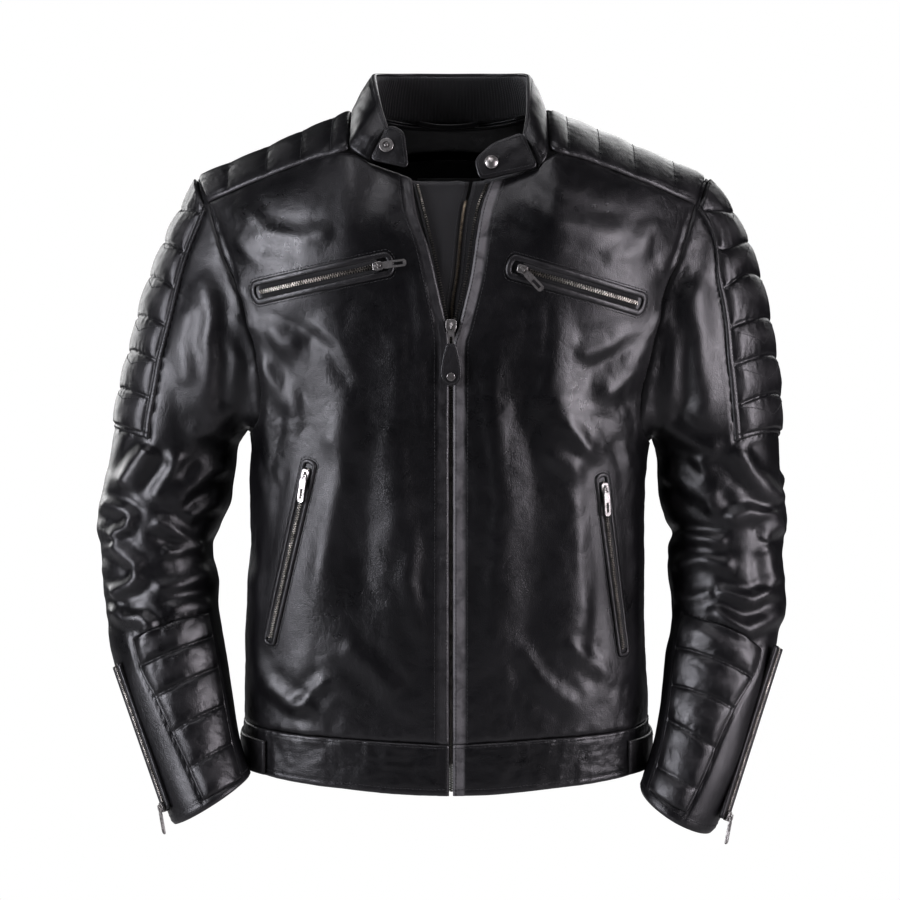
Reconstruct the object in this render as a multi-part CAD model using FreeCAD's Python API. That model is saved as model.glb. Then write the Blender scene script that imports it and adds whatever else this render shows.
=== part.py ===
import FreeCAD, Part
import math
import os

# Leather riding jacket, millimetres.
# +Z up, the fronts face -Y, +X is the wearer's left.
# The origin is the inner face of the hanger loop at the centre back of the neck.

V = FreeCAD.Vector
os.makedirs("parts", exist_ok=True)

# ---------------------------------------------------------------- driving sizes
MID_Y = -60.0            # plane halfway between chest and back
LEATHER = 2.5            # shell leather, with its backing
SEAM_GAP = 0.6           # half of the gap between neighbouring panels
LINER_IN = 8.0           # lining's outer face below the leather's outer face
LINER_T = 1.2            # lining thickness
SLEEVE_LINER_IN = 10.0   # the same in the sleeves
PAD_SINK = 5.0           # how far a sleeve is set in below its quilted pad
PAD_LOW = -4.4           # pad's inner face
PAD_HIGH = 0.8           # pad's outer face
BAND_T = 4.0             # hem band thickness
COLLAR_KNIT_T = 2.6      # knitted inner collar thickness
SQ = 2.6                 # roundness of the body's cross section
ROLL = 160.0             # how far below the shoulder ridge the chest turns flat
CENTRE_X = 3.0           # middle of the shoulder ridge
CHEST_DEPTH = 128.0      # front half depth at chest height
CHEST_SLOPE = 0.0185     # its taper towards the hem
CHEST_Z = -186.0
ZIP_X = 1.9              # main zip line
SLIDER_Z = -182.0        # where the main slider stands
ZIP_BOTTOM = -611.0      # lower end of the main zip
PULL_LEN = 26.0          # small pullers
PULL_W = 6.6


def pchip(tab):
    xs = [float(p[0]) for p in tab]
    ys = [float(p[1]) for p in tab]
    n = len(xs)
    h = [xs[i + 1] - xs[i] for i in range(n - 1)]
    d = [(ys[i + 1] - ys[i]) / h[i] for i in range(n - 1)]
    m = [0.0] * n
    if n == 2:
        m = [d[0], d[0]]
    else:
        m[0], m[-1] = d[0], d[-1]
        for i in range(1, n - 1):
            if d[i - 1] * d[i] > 0:
                w1 = 2 * h[i] + h[i - 1]
                w2 = h[i] + 2 * h[i - 1]
                m[i] = (w1 + w2) / (w1 / d[i - 1] + w2 / d[i])

    def f(x):
        if x <= xs[0]:
            return ys[0]
        if x >= xs[-1]:
            return ys[-1]
        lo, hi = 0, n - 1
        while hi - lo > 1:
            k = (lo + hi) // 2
            if xs[k] <= x:
                lo = k
            else:
                hi = k
        t = (x - xs[lo]) / h[lo]
        return ((1 + 2 * t) * (1 - t) ** 2 * ys[lo] + t * (1 - t) ** 2 * h[lo] * m[lo]
                + t * t * (3 - 2 * t) * ys[hi] + t * t * (t - 1) * h[lo] * m[hi])
    return f


# ---------------------------------------------------------------- body surface
# half widths of the body by height, right and left of the wearer
WR = pchip([(-645, 192), (-608, 195.5), (-567, 195.0), (-498, 195.5), (-440, 193), (-373, 187.5),
            (-306, 187.5), (-260, 194), (-200, 207), (-150, 219), (-100, 231), (-47, 239.5), (0, 242), (60, 242)])
WL = pchip([(-645, 189), (-612, 191), (-571, 190.7), (-498, 188.5), (-440, 184.5), (-373, 185),
            (-306, 189.5), (-260, 196.5), (-200, 210), (-150, 222), (-100, 235), (-47, 244.5), (0, 247), (60, 247)])
BACK_DEPTH = pchip([(-645, 117), (-540, 114), (-450, 110), (-350, 116), (-250, 122), (-150, 125), (60, 126)])
# shoulder ridge height by distance from the middle, seen from the front and from the back
RIDGE_F = pchip([(0, -9), (30, -6.5), (60, 1), (80, 8.5), (93, 13), (110, 7.0), (133, -2.5),
                 (166, -17), (203, -32.5), (240, -48), (262, -57.5)])
RIDGE_B = pchip([(0, 33), (30, 31.5), (60, 26), (80, 18.5), (93, 13), (110, 7.0), (133, -2.5),
                 (166, -17), (203, -32.5), (240, -48), (262, -57.5)])


def front_depth(z):
    return CHEST_DEPTH + (z - CHEST_Z) * CHEST_SLOPE


def half_width(s, z):
    return WL(z) if s > 0 else WR(z)


def ridge(x, front=True):
    return (RIDGE_F if front else RIDGE_B)(abs(x - CENTRE_X))


def roll(t):
    if t <= 0:
        return 0.0
    if t >= 1:
        return 1.0
    return math.sqrt(1 - (1 - t) ** 2)


def body(ps, z):
    """Point on the body. ps is 0 at the front centre and pi at the back centre."""
    s, c = math.sin(ps), math.cos(ps)
    dn = (abs(s) ** SQ + abs(c) ** SQ) ** (1 / SQ)
    x = half_width(s, z) * s / dn
    fr = c >= 0
    b = front_depth(z) if fr else BACK_DEPTH(z)
    return V(x, MID_Y - b * (c / dn) * roll((ridge(x, fr) - z) / ROLL), z)


def psi(x, z, front=True):
    r = min(0.99999, abs(x) / half_width(x, z))
    q = r ** SQ
    a = math.atan((q / (1 - q)) ** (1 / SQ))
    if not front:
        a = math.pi - a
    return a if x >= 0 else -a


def unit(v):
    w = V(v)
    w.normalize()
    return w


def body_n(ps, z):
    e = 1e-3
    a = body(ps + e, z) - body(ps - e, z)
    b = body(ps, z + 0.4) - body(ps, z - 0.4)
    n = unit(b.cross(a))
    if n.dot(body(ps, z) - V(0, MID_Y, min(z - 10, -120.0))) < 0:
        n = n * -1
    return n


# ---------------------------------------------------------------- patch solids
def face_of(grid):
    s = Part.BSplineSurface()
    s.interpolate(grid)
    return s


def strip(a, b):
    """Ruled face between two surface boundary curves."""
    return Part.makeRuledSurface(a.toShape(), b.toShape())


def slab(outer, inner):
    """Closed solid between two grids of points of the same size."""
    so, si = face_of(outer), face_of(inner)
    u0, u1, v0, v1 = so.bounds()
    w0, w1, t0, t1 = si.bounds()
    faces = [so.toShape(), si.toShape(),
             strip(so.uIso(u0), si.uIso(w0)), strip(so.uIso(u1), si.uIso(w1)),
             strip(so.vIso(v0), si.vIso(t0)), strip(so.vIso(v1), si.vIso(t1))]
    sh = Part.Shell(faces)
    try:
        sh.sewShape()
    except Exception:
        pass
    sol = Part.Solid(sh)
    if sol.Volume < 0:
        sol.reverse()
    if not sol.isValid() or sol.Volume <= 0:
        c = Part.makeCompound(faces)
        c.sewShape(1e-4)
        sol = Part.Solid(c.Shells[0])
        if sol.Volume < 0:
            sol.reverse()
    return sol


def offset_grid(pts, nrm, d):
    return [[p + n * d for p, n in zip(rp, rn)] for rp, rn in zip(pts, nrm)]


def patch(pts, nrm, hi, lo):
    return slab(offset_grid(pts, nrm, hi), offset_grid(pts, nrm, lo))


REPORT = []


def save(name, shape):
    solids = shape.Solids
    ok = shape.isValid()
    REPORT.append((name, len(solids), ok, sum(s.Volume for s in solids)))
    shape.exportStep("parts/%s.step" % name)


def comp(parts):
    return Part.makeCompound(parts)


def lerp(a, b, t):
    return a + (b - a) * t


def polyline(pts, closed=False):
    """Arc length parametrisation of a polyline of tuples or vectors, 0 to 1."""
    d = [0.0]
    for i in range(1, len(pts)):
        a, b = pts[i - 1], pts[i]
        sc = (150.0, 1.0) if len(a) == 2 else (1.0, 1.0, 1.0)    # an angle weighs as its arc
        d.append(d[-1] + math.sqrt(sum(((a[k] - b[k]) * sc[k]) ** 2 for k in range(len(a)))))
    tot = d[-1]

    def f(t):
        s = min(max(t, 0.0), 1.0) * tot
        k = 0
        while k < len(d) - 2 and d[k + 1] < s:
            k += 1
        w = (s - d[k]) / (d[k + 1] - d[k] or 1.0)
        return tuple(pts[k][j] + (pts[k + 1][j] - pts[k][j]) * w for j in range(len(pts[k])))
    return f


def coons(left, right, bottom, top, nu, nv):
    """Transfinite grid in a 2-D domain; each boundary is a function of 0..1."""
    g = []
    c00, c10, c01, c11 = left(0), right(0), left(1), right(1)
    for i in range(nu):
        u = i / (nu - 1.0)
        row = []
        for j in range(nv):
            v = j / (nv - 1.0)
            p = []
            for k in range(2):
                p.append((1 - u) * left(v)[k] + u * right(v)[k] + (1 - v) * bottom(u)[k] + v * top(u)[k]
                         - ((1 - u) * (1 - v) * c00[k] + u * (1 - v) * c10[k]
                            + (1 - u) * v * c01[k] + u * v * c11[k]))
            row.append(tuple(p))
        g.append(row)
    return g


def body_grid(dom, inset=0.0):
    pts = [[body(p[0], p[1]) for p in r] for r in dom]
    nr = [[body_n(p[0], p[1]) for p in r] for r in dom]
    return pts, nr


# ---------------------------------------------------------------- seam lines
# front edge of each front, by height (x, z), from the neck down
EDGE_R = pchip([(-616, 0.1), (-200, 0.1), (-182, -2.6), (-146.6, -10.3), (-110.8, -18.8), (-82.1, -29.3), (-47.7, -34.5)])
EDGE_L = pchip([(-616, 3.7), (-200, 3.7), (-192, 6.4), (-167.7, 12.7), (-136, 19.9), (-104.5, 24.5), (-74.9, 30.0), (-50.0, 39.2)])
# armhole seam on the front of the body: x by height
ARM_R = pchip([(-287, 187.4), (-278, 178.5), (-262, 173), (-240, 173), (-206.7, 178.1), (-161.8, 190), (-121, 207.5), (-72.2, 225.3), (-46.5, 236.5)])
ARM_L = pchip([(-296, 189.2), (-286, 182), (-270, 178.5), (-245, 180), (-207, 187), (-162, 197.9), (-121, 213.5), (-72.2, 231.2), (-46.5, 241.8)])
PIT = {-1: -287.0, 1: -296.0}
HEM_SEAM = pchip([(0, -567.5), (30, -562.5), (60, -560.5), (90, -560), (180, -560)])
HEM_EDGE = pchip([(0, -614.6), (8, -614.2), (30, -609), (60, -603.5), (90, -600), (180, -598)])
YOKE_F = pchip([(90.4, -20.5), (98.6, -24.3), (125, -31.5), (157, -43), (197, -59), (226, -71), (240, -76)])
YOKE_B = pchip([(88, -52), (125, -62), (170, -76), (205, -88), (226, -97), (240, -103)])
NECK_B = pchip([(0, 0.0), (30, 1.6), (60, 6.0), (80, 10.8), (90, 13.5)])
YOKE_X = 91.0


def arm_x(side, z, front=True):
    x = (ARM_L if side > 0 else ARM_R)(z)
    if not front:
        t = (z - PIT[side]) / (-46.5 - PIT[side])
        x += 9.0 * math.sin(math.pi * min(max(t, 0), 1))
    return min(x, half_width(side, z) * 0.9995)


def hem_seam(ps):
    return HEM_SEAM(abs(math.degrees(ps)))


def hem_edge(ps):
    return HEM_EDGE(abs(math.degrees(ps)))


def side_curve(side, front, lo, hi_z, g):
    """Side seam, then armhole, as a domain polyline from lo up to hi_z."""
    pit = PIT[side]
    pts = []
    for k in range(9):
        z = lerp(lo, pit - 4.0, k / 8.0)
        a = math.pi / 2 * side
        ga = g / 190.0
        pts.append((a - side * ga if front else a + side * ga, z))
    n = 26
    for k in range(n + 1):
        z = lerp(pit + 1.0, hi_z, (k / float(n)) ** 1.15)
        x = arm_x(side, z, front) - g * (1.0 if z > pit + 12 else (z - pit) / 12.0)
        a = psi(side * x, z, front)
        if not front and side < 0:
            a = a
        pts.append((a, z))
    # keep the first armhole points outside the side seam's line
    out = []
    for p in pts:
        lim = math.pi / 2 - g / 190.0
        if front:
            out.append((side * min(abs(p[0]), lim), p[1]))
        else:
            out.append((side * max(abs(p[0]), math.pi / 2 + g / 190.0), p[1]))
    return out


def front_domain(side, nu=15, nv=24, g=SEAM_GAP, edge_shift=0.0, top_drop=0.0, hem_lift=0.0):
    edge = EDGE_L if side > 0 else EDGE_R
    ztop = (-50.6 if side > 0 else -48.2) - top_drop
    zb = hem_seam(0.0) + g + hem_lift
    lf = []
    for k in range(31):
        z = lerp(zb, ztop, k / 30.0)
        x = edge(z) + side * edge_shift
        a = psi(abs(x), z) * (1 if x >= 0 else -1)
        lf.append((a, z))
    zc = YOKE_F(226) - g - top_drop
    rt = side_curve(side, True, hem_seam(math.pi / 2) + g + hem_lift, zc, g)
    bt = []
    for k in range(21):
        a = lerp(lf[0][0], rt[0][0], k / 20.0)
        bt.append((a, hem_seam(a) + g + hem_lift))
    tp = [lf[-1]]
    if side < 0:
        neck = [(-53.7, -40.9), (-72.9, -33.6), (-84.8, -26.6)]
    else:
        neck = [(60.2, -47.3), (82.9, -40.1), (89.4, -31.0)]
    for x, z in neck:
        tp.append((psi(x, z - g - top_drop), z - g - top_drop))
    xe = abs(body(rt[-1][0], rt[-1][1]).x)
    for k in range(1, 17):
        x = lerp(YOKE_X + 1.0, xe, k / 16.0)
        z = YOKE_F(x) - g - top_drop
        if k == 16:
            tp.append(rt[-1])
        else:
            tp.append((psi(side * x, z), z))
    return coons(polyline(lf), polyline(rt), polyline(bt), polyline(tp), nu, nv)


def back_domain(nu=25, nv=24, g=SEAM_GAP, top_drop=0.0, hem_lift=0.0):
    zc = YOKE_B(226) - g - top_drop
    r = side_curve(1, False, hem_seam(math.pi / 2) + g + hem_lift, zc, g)
    l = side_curve(-1, False, hem_seam(math.pi / 2) + g + hem_lift, zc, g)
    l = [(2 * math.pi + p[0], p[1]) for p in l]
    bt = [(lerp(r[0][0], l[0][0], k / 30.0), hem_seam(math.pi / 2) + g + hem_lift) for k in range(31)]
    tp = [r[-1]]
    xr = abs(body(r[-1][0], r[-1][1]).x)
    xl = abs(body(l[-1][0], l[-1][1]).x)
    for k in range(1, 10):
        x = lerp(xr, YOKE_X - 2, k / 9.0)
        z = YOKE_B(x) - g - top_drop
        tp.append((psi(x, z, False), z))
    for x in (84, 70, 50, 25, 0, -25, -50, -70, -84):
        t = abs(x) / (YOKE_X - 2.0)
        z = lerp(BACK_NECK_Z, YOKE_B(YOKE_X - 2), t ** 3) - g - top_drop
        a = psi(abs(x), z, False)
        tp.append((a if x >= 0 else 2 * math.pi - a, z))
    for k in range(0, 9):
        x = lerp(YOKE_X - 2, xl, k / 9.0)
        z = YOKE_B(x) - g - top_drop
        tp.append((2 * math.pi - psi(x, z, False), z))
    tp.append(l[-1])
    return coons(polyline(r), polyline(l), polyline(bt), polyline(tp), nu, nv)


# The back yoke runs across from shoulder to shoulder, below the collar.
BACK_NECK_Z = -52.0


def yoke_point(x, a):
    """Point of the shoulder at x, turned by a from the ridge: + front, - back."""
    fr = a >= 0
    zr = ridge(x, fr)
    aa = abs(a)
    z = zr - ROLL * (1 - math.cos(aa))
    w = half_width(x, z)
    r = min(abs(x) / w, 0.9999)
    d = (1 - r ** SQ) ** (1 / SQ)
    b = front_depth(z) if fr else BACK_DEPTH(z)
    return V(x, MID_Y - (1 if fr else -1) * b * d * math.sin(aa), z)


def yoke_n(x, a):
    e = 0.3
    p = yoke_point(x + e, a) - yoke_point(x - e, a)
    q = yoke_point(x, a + 0.01) - yoke_point(x, a - 0.01)
    n = unit(p.cross(q))
    return n if n.z > 0 else n * -1


def yoke_angle(x, z, front):
    c = 1 - (ridge(x, front) - z) / ROLL
    return math.acos(min(1.0, max(-1.0, c)))


def yoke_grid(side, g=SEAM_GAP, nu=13, nv=15, x_in=None, shrink=0.0):
    pts, nr = [], []
    xi = (YOKE_X + g) if x_in is None else x_in
    for i in range(nu):
        u = i / (nu - 1.0)
        rp, rn = [], []
        for j in range(nv):
            t = j / (nv - 1.0)
            # x range at this height follows the armhole
            x = xi
            for _ in range(6):
                af = yoke_angle(side * x, YOKE_F(x) + g + shrink, True)
                ab = yoke_angle(side * x, YOKE_B(x) + g + shrink, False)
                a = lerp(-ab, af, t)
                z = ridge(side * x, a >= 0) - ROLL * (1 - math.cos(a))
                xo = arm_x(side, min(z, -46.5), a >= 0) - g - shrink * 0.3
                x = lerp(xi, xo, u)
            rp.append(yoke_point(side * x, a))
            # near the tip the wall follows the shoulder further in, so that it does not fold over
            rn.append(yoke_n(side * min(x, 205.0), a * 0.9))
        pts.append(rp)
        nr.append(rn)
    return pts, nr


# ---------------------------------------------------------------- sleeves
# outer and inner outline of each sleeve (x, z), with the depth of its middle
SL_R = [((-235.5, -46.9), (-187.9, -286.9), -60), ((-253.6, -81.6), (-188.9, -284.6), -60), ((-266.1, -107.0), (-190.8, -286.9), -60), ((-277.7, -133.4), (-193.2, -291.7), -60), ((-289.3, -166.4), (-196.5, -296.5), -60), ((-299.3, -206.2), (-199.5, -301.3), -59), ((-310.2, -247.1), (-201.5, -309.0), -58), ((-317.4, -287.2), (-202.6, -321.5), -57), ((-323.4, -317.7), (-205.6, -337.8), -57), ((-331.3, -349.2), (-208.5, -355.9), -58), ((-335.1, -376.7), (-218.0, -377.7), -60), ((-331.2, -399.4), (-225.5, -399.4), -63), ((-327.8, -433.9), (-218.5, -429.1), -70), ((-324.6, -452.4), (-218.3, -449.5), -75), ((-320.9, -484.4), (-214.7, -470.0), -85), ((-313.5, -513.5), (-208.6, -500.1), -94), ((-303.2, -546.1), (-203.3, -533.7), -104), ((-290.2, -576.6), (-198.1, -563.3), -114), ((-276.4, -606.2), (-191.0, -588.2), -123), ((-257.7, -649.0), (-184.6, -603.6), -136)]
SL_L = [((242.2, -46.9), (190.0, -296.5), -60), ((262.2, -73.2), (191.4, -294.5), -60), ((275.6, -97.6), (192.4, -296.5), -60), ((286.2, -122.1), (193.8, -301.2), -60), ((297.9, -161.7), (195.8, -307.9), -60), ((306.0, -206.2), (197.8, -317.5), -59), ((312.2, -247.1), (197.9, -329.1), -58), ((313.7, -287.2), (198.6, -340.7), -57), ((315.0, -317.7), (200.1, -354.1), -57), ((319.0, -354.0), (206.8, -373.1), -58), ((320.9, -377.7), (213.4, -385.4), -60), ((317.0, -399.4), (209.4, -399.4), -63), ((317.5, -431.0), (209.1, -424.3), -70), ((319.9, -451.4), (211.7, -447.6), -75), ((313.3, -474.8), (210.1, -472.9), -85), ((307.8, -497.3), (203.9, -494.4), -94), ((301.3, -529.0), (200.5, -521.3), -104), ((289.2, -560.5), (197.1, -548.1), -114), ((275.5, -599.6), (190.1, -580.6), -123), ((247.6, -654.7), (177.3, -615.9), -136)]
SL_DEPTH = [76, 75, 73, 71, 69, 67, 65, 64, 63, 62, 61, 60, 57, 56, 54, 52, 50, 48, 46, 44]
BOW = [1.0, 0.82, 0.62, 0.44, 0.28, 0.14, 0.05] + [0.0] * 13
LAST = 19


def catmull(vals, s):
    n = len(vals)
    s = min(max(s, 0.0), n - 1.0)
    k = min(int(s), n - 2)
    t = s - k
    p1, p2 = vals[k], vals[k + 1]
    p0 = vals[k - 1] if k > 0 else [2 * a - b for a, b in zip(p1, p2)]
    p3 = vals[k + 2] if k + 2 < n else [2 * b - a for a, b in zip(p1, p2)]
    return [0.5 * ((2 * b) + (c - a) * t + (2 * a - 5 * b + 4 * c - d) * t * t
                   + (3 * b - a - 3 * c + d) * t ** 3) for a, b, c, d in zip(p0, p1, p2, p3)]


def armhole_loop(side):
    """Closed armhole seam as two polylines from the shoulder tip to the armpit."""
    out = []
    for front in (True, False):
        st = SL_L if side > 0 else SL_R
        tip = V(st[0][0][0], MID_Y, st[0][0][1])
        pts = [tip]
        pit = PIT[side]
        for k in range(1, 40):
            t = k / 39.0
            z = lerp(-50.0, pit, t)
            x = arm_x(side, z, front)
            pts.append(body(psi(side * x, z, front), z))
        pts.append(V(side * half_width(side, pit), MID_Y, pit))
        out.append(polyline(pts))
    return out


LOOPS = {s: armhole_loop(s) for s in (-1, 1)}
STN = {}
for _s, _t in ((-1, SL_R), (1, SL_L)):
    STN[_s] = [[o[0], o[1], i[0], i[1], float(y), float(d), b] for (o, i, y), d, b in zip(_t, SL_DEPTH, BOW)]


def loop_at(side, phi):
    """Armhole point for ring angle phi: 0 outer, 90 front, 180 armpit, 270 back."""
    phi = phi % 360.0
    f, b = LOOPS[side]
    return V(*f(phi / 180.0)) if phi <= 180 else V(*b((360.0 - phi) / 180.0))


def ring(side, s):
    ox, oz, ix, iz, y, d, b = catmull(STN[side], s)
    o, i = V(ox, y, oz), V(ix, y, iz)
    c = (o + i) * 0.5
    a0, a1 = catmull(STN[side], s - 0.5), catmull(STN[side], s + 0.5)
    ax = V((a1[0] + a1[2] - a0[0] - a0[2]) / 2, a1[4] - a0[4], (a1[1] + a1[3] - a0[1] - a0[3]) / 2)
    el = o - c
    e = unit(el)
    fd = unit(ax.cross(e))
    if fd.y > 0:
        fd = fd * -1
    return c, el, fd * d, b


def sleeve(side, phi, s):
    c, el, fd, b = ring(side, s)
    r = math.radians(phi)
    p = c + el * math.cos(r) + fd * math.sin(r)
    if b > 1e-6:
        c0, e0, f0, _ = ring(side, 0.0)
        p0 = c0 + e0 * math.cos(r) + f0 * math.sin(r)
        p = p + (loop_at(side, phi) - p0) * b
    return p


def sleeve_n(side, phi, s):
    a = sleeve(side, phi + 1.5, s) - sleeve(side, phi - 1.5, s)
    b = sleeve(side, phi, min(s + 0.12, LAST)) - sleeve(side, phi, max(s - 0.12, 0))
    n = unit(a.cross(b))
    c = ring(side, s)[0]
    if n.dot(sleeve(side, phi, s) - c) < 0:
        n = n * -1
    if s < 0.8:
        # at the armhole the wall turns with the body's own wall
        q = loop_at(side, phi)
        if q.z > -49.0:
            m = V(side * 0.35, 0, 0.94)
        else:
            m = body_n(psi(q.x, q.z, q.y < MID_Y), q.z)
        w = 1 - s / 0.8
        n = unit(n * (1 - w) + m * w)
    return n


def smooth(t):
    t = min(max(t, 0.0), 1.0)
    return t * t * (3 - 2 * t)


# quilted upper arm pads: front border angle by station, and the station range
PAD_S0, PAD_S1 = 0.45, 7.0
PAD_FRONT = {-1: pchip([(0, 24), (1.3, 33), (3.1, 50), (4.3, 60), (5.9, 68), (7.2, 71)]),
             1: pchip([(0, 24), (0.8, 30), (1.8, 48), (3.2, 61), (4.2, 73), (5.3, 79), (7.2, 83)])}
PAD_BACK = -62.0
# forearm pads: border angles by station
FORE_S0, FORE_S1 = 13.6, 18.7
FORE_OUT = {-1: pchip([(13, 58), (15.1, 60), (16, 69), (17, 76), (18.2, 85), (19, 90)]),
            1: pchip([(13, 44), (15.05, 46), (16.83, 67), (17.67, 79), (19, 87)])}
FORE_IN = {-1: pchip([(13, 150), (19, 150)]), 1: pchip([(13, 150), (19, 150)])}


def pad_mask(side, phi, s):
    """1 under a pad, 0 clear of it."""
    ph = (phi + 180.0) % 360.0 - 180.0
    e = 9.0
    m = 0.0
    f = PAD_FRONT[side](s)
    m = max(m, smooth((f + e - ph) / e) * smooth((ph - PAD_BACK + e) / e)
            * smooth((s - PAD_S0 + 0.35) / 0.35) * smooth((PAD_S1 + 0.35 - s) / 0.35))
    a, b = FORE_OUT[side](s), FORE_IN[side](s)
    m = max(m, smooth((ph - a + e) / e) * smooth((b + e - ph) / e)
            * smooth((s - FORE_S0 + 0.35) / 0.35) * smooth((FORE_S1 + 0.3 - s) / 0.3))
    return m


def sleeve_half(side, front, hi=0.0, lo=-LEATHER, s0=0.03, s1=LAST - 0.01, gap=0.5, nphi=15, ns=44, pads=True):
    pts, nr = [], []
    for i in range(nphi):
        a0, a1 = (gap, 180 - gap) if front else (180 + gap, 360 - gap)
        ph = lerp(a0, a1, i / (nphi - 1.0))
        rp, rn = [], []
        for j in range(ns):
            s = lerp(s0, s1, j / (ns - 1.0))
            n = sleeve_n(side, ph, s)
            p = sleeve(side, ph, s)
            if pads:
                p = p - n * (PAD_SINK * pad_mask(side, ph, s))
            rp.append(p)
            rn.append(n)
        pts.append(rp)
        nr.append(rn)
    return patch(pts, nr, hi, lo)


def sleeve_patch(side, fa, fb, s0, s1, hi, lo, nphi=11, ns=16):
    pts, nr = [], []
    for i in range(nphi):
        rp, rn = [], []
        for j in range(ns):
            s = lerp(s0, s1, j / (ns - 1.0))
            ph = lerp(fa(s), fb(s), i / (nphi - 1.0))
            rp.append(sleeve(side, ph, s))
            rn.append(sleeve_n(side, ph, s))
        pts.append(rp)
        nr.append(rn)
    return patch(pts, nr, hi, lo)


SIDES = ((1, "left"), (-1, "right"))

# ================================================================ shell leather
for side, nm in SIDES:
    pts, nr = body_grid(front_domain(side))
    save("front_panel_" + nm, patch(pts, nr, 0.0, -LEATHER))
    pts, nr = yoke_grid(side)
    save("yoke_" + nm, patch(pts, nr, 0.0, -LEATHER))
pts, nr = body_grid(back_domain())
save("back_panel", patch(pts, nr, 0.0, -LEATHER))

# hem bands
def band_grid(a0, a1, n, top, bot, edge_fix=None):
    dom = []
    for i in range(n):
        a = lerp(a0, a1, i / (n - 1.0))
        aa = a if a <= math.pi else 2 * math.pi - a
        row = []
        for j in range(5):
            z = lerp(HEM_EDGE(abs(math.degrees(aa))) + bot, HEM_SEAM(abs(math.degrees(aa))) + top, j / 4.0)
            row.append((a, z))
        dom.append(row)
    return body_grid(dom)


HALF = math.pi / 2
for side, nm in SIDES:
    x0 = (EDGE_L if side > 0 else EDGE_R)(-600)
    pts, nr = band_grid(psi(x0, -600), side * (HALF - 0.004), 17, -SEAM_GAP, 0.0)
    save("hem_band_" + nm, patch(pts, nr, 0.3, 0.3 - BAND_T))
pts, nr = band_grid(HALF + 0.004, 3 * HALF - 0.004, 25, -SEAM_GAP, 0.0)
save("hem_band_back", patch(pts, nr, 0.3, 0.3 - BAND_T))

# sleeves
BACK_SLEEVES = {}
for side, nm in SIDES:
    save("sleeve_front_" + nm, sleeve_half(side, True))
    BACK_SLEEVES[side] = sleeve_half(side, False)
    save("sleeve_back_" + nm, BACK_SLEEVES[side])
    fb = PAD_FRONT[side]
    save("upper_arm_pad_" + nm, sleeve_patch(side, lambda s: PAD_BACK, fb, PAD_S0, PAD_S1, PAD_HIGH, PAD_LOW, 15, 18))
    save("forearm_pad_" + nm, sleeve_patch(side, FORE_OUT[side], FORE_IN[side], FORE_S0, FORE_S1, PAD_HIGH, PAD_LOW, 11, 14))

# lining
def lining_ring(side, phi, s, depth):
    """Sleeve lining point: the sleeve's outline, smoothed along the arm and drawn in towards its middle."""
    p, c = V(0, 0, 0), V(0, 0, 0)
    for d_, w_ in ((-0.8, 0.25), (0.0, 0.5), (0.8, 0.25)):
        q = min(max(s + d_, 0.6), LAST - 0.02)
        p = p + sleeve(side, phi, q) * w_
        c = c + ring(side, q)[0] * w_
    r = p - c
    return c + r * (1 - (depth / r.Length))


linings = []
for side, nm in SIDES:
    for fr in (True, False):
        gs = []
        for dep in (SLEEVE_LINER_IN + 2.5, SLEEVE_LINER_IN + 2.5 + LINER_T):
            a0, a1 = (3, 177) if fr else (183, 357)
            gs.append([[lining_ring(side, lerp(a0, a1, i / 12.0), lerp(2.4, LAST - 0.6, j / 19.0), dep) for j in range(20)]
                       for i in range(13)])
        linings.append(slab(gs[0], gs[1]))
save("sleeve_linings", comp(linings))

# the lining's front edges meet at the inner zip
INNER = pchip([(-600, 2.5), (-175, 2.5), (-158, 3.6), (-143, 6.2), (-70, 14.0), (-58, 18.0), (-50, 20)])


def liner_front_domain(side, nu=13, nv=20, g=1.0):
    ztop = -62.0
    zb = -590.0
    lf = []
    for k in range(25):
        z = lerp(zb, ztop, k / 24.0)
        x = INNER(z) + side * 1.6
        lf.append((psi(x, z), z))
    rt = side_curve(side, True, zb, YOKE_F(226) - 18, 5.0)
    bt = [(lerp(lf[0][0], rt[0][0], k / 20.0), zb) for k in range(21)]
    xt = body(lf[-1][0], lf[-1][1]).x
    xe = body(rt[-1][0], rt[-1][1]).x
    tp = []
    for k in range(21):
        x = lerp(xt, xe, k / 20.0)
        zl = -62.0 if abs(x) < 30 else (lerp(-62.0, -30.0, (abs(x) - 30) / 60.0) if abs(x) < 90 else YOKE_F(abs(x)) - lerp(9.0, 18.0, (abs(x) - 90) / 136.0))
        if k == 0:
            tp.append(lf[-1])
        elif k == 20:
            tp.append(rt[-1])
        else:
            tp.append((psi(x, zl), zl))
    return coons(polyline(lf), polyline(rt), polyline(bt), polyline(tp), nu, nv)


for side, nm in SIDES:
    pts, nr = body_grid(liner_front_domain(side))
    save("lining_front_" + nm, patch(pts, nr, -LINER_IN, -LINER_IN - LINER_T))
    pts, nr = None, None


def liner_back_domain(nu=23, nv=20):
    zb = -590.0
    zc = YOKE_B(226) - 16
    r = side_curve(1, False, zb, zc, 5.0)
    l = [(2 * math.pi + p[0], p[1]) for p in side_curve(-1, False, zb, zc, 5.0)]
    bt = [(lerp(r[0][0], l[0][0], k / 30.0), zb) for k in range(31)]
    tp = []
    xr = abs(body(r[-1][0], r[-1][1]).x)
    for k in range(41):
        x = lerp(xr, -xr, k / 40.0)
        if k == 0:
            tp.append(r[-1])
            continue
        if k == 40:
            tp.append(l[-1])
            continue
        ax = abs(x)
        z = lerp(-26.0, -40.0, (ax / 88.0) ** 2) if ax < 88 else YOKE_B(ax) + lerp(10.0, -16.0, (ax - 88) / (xr - 88.0))
        a = psi(ax, z, False)
        tp.append((a if x >= 0 else 2 * math.pi - a, z))
    return coons(polyline(r), polyline(l), polyline(bt), polyline(tp), nu, nv)


pts, nr = body_grid(liner_back_domain())
save("lining_back", patch(pts, nr, -LINER_IN, -LINER_IN - LINER_T))

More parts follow.
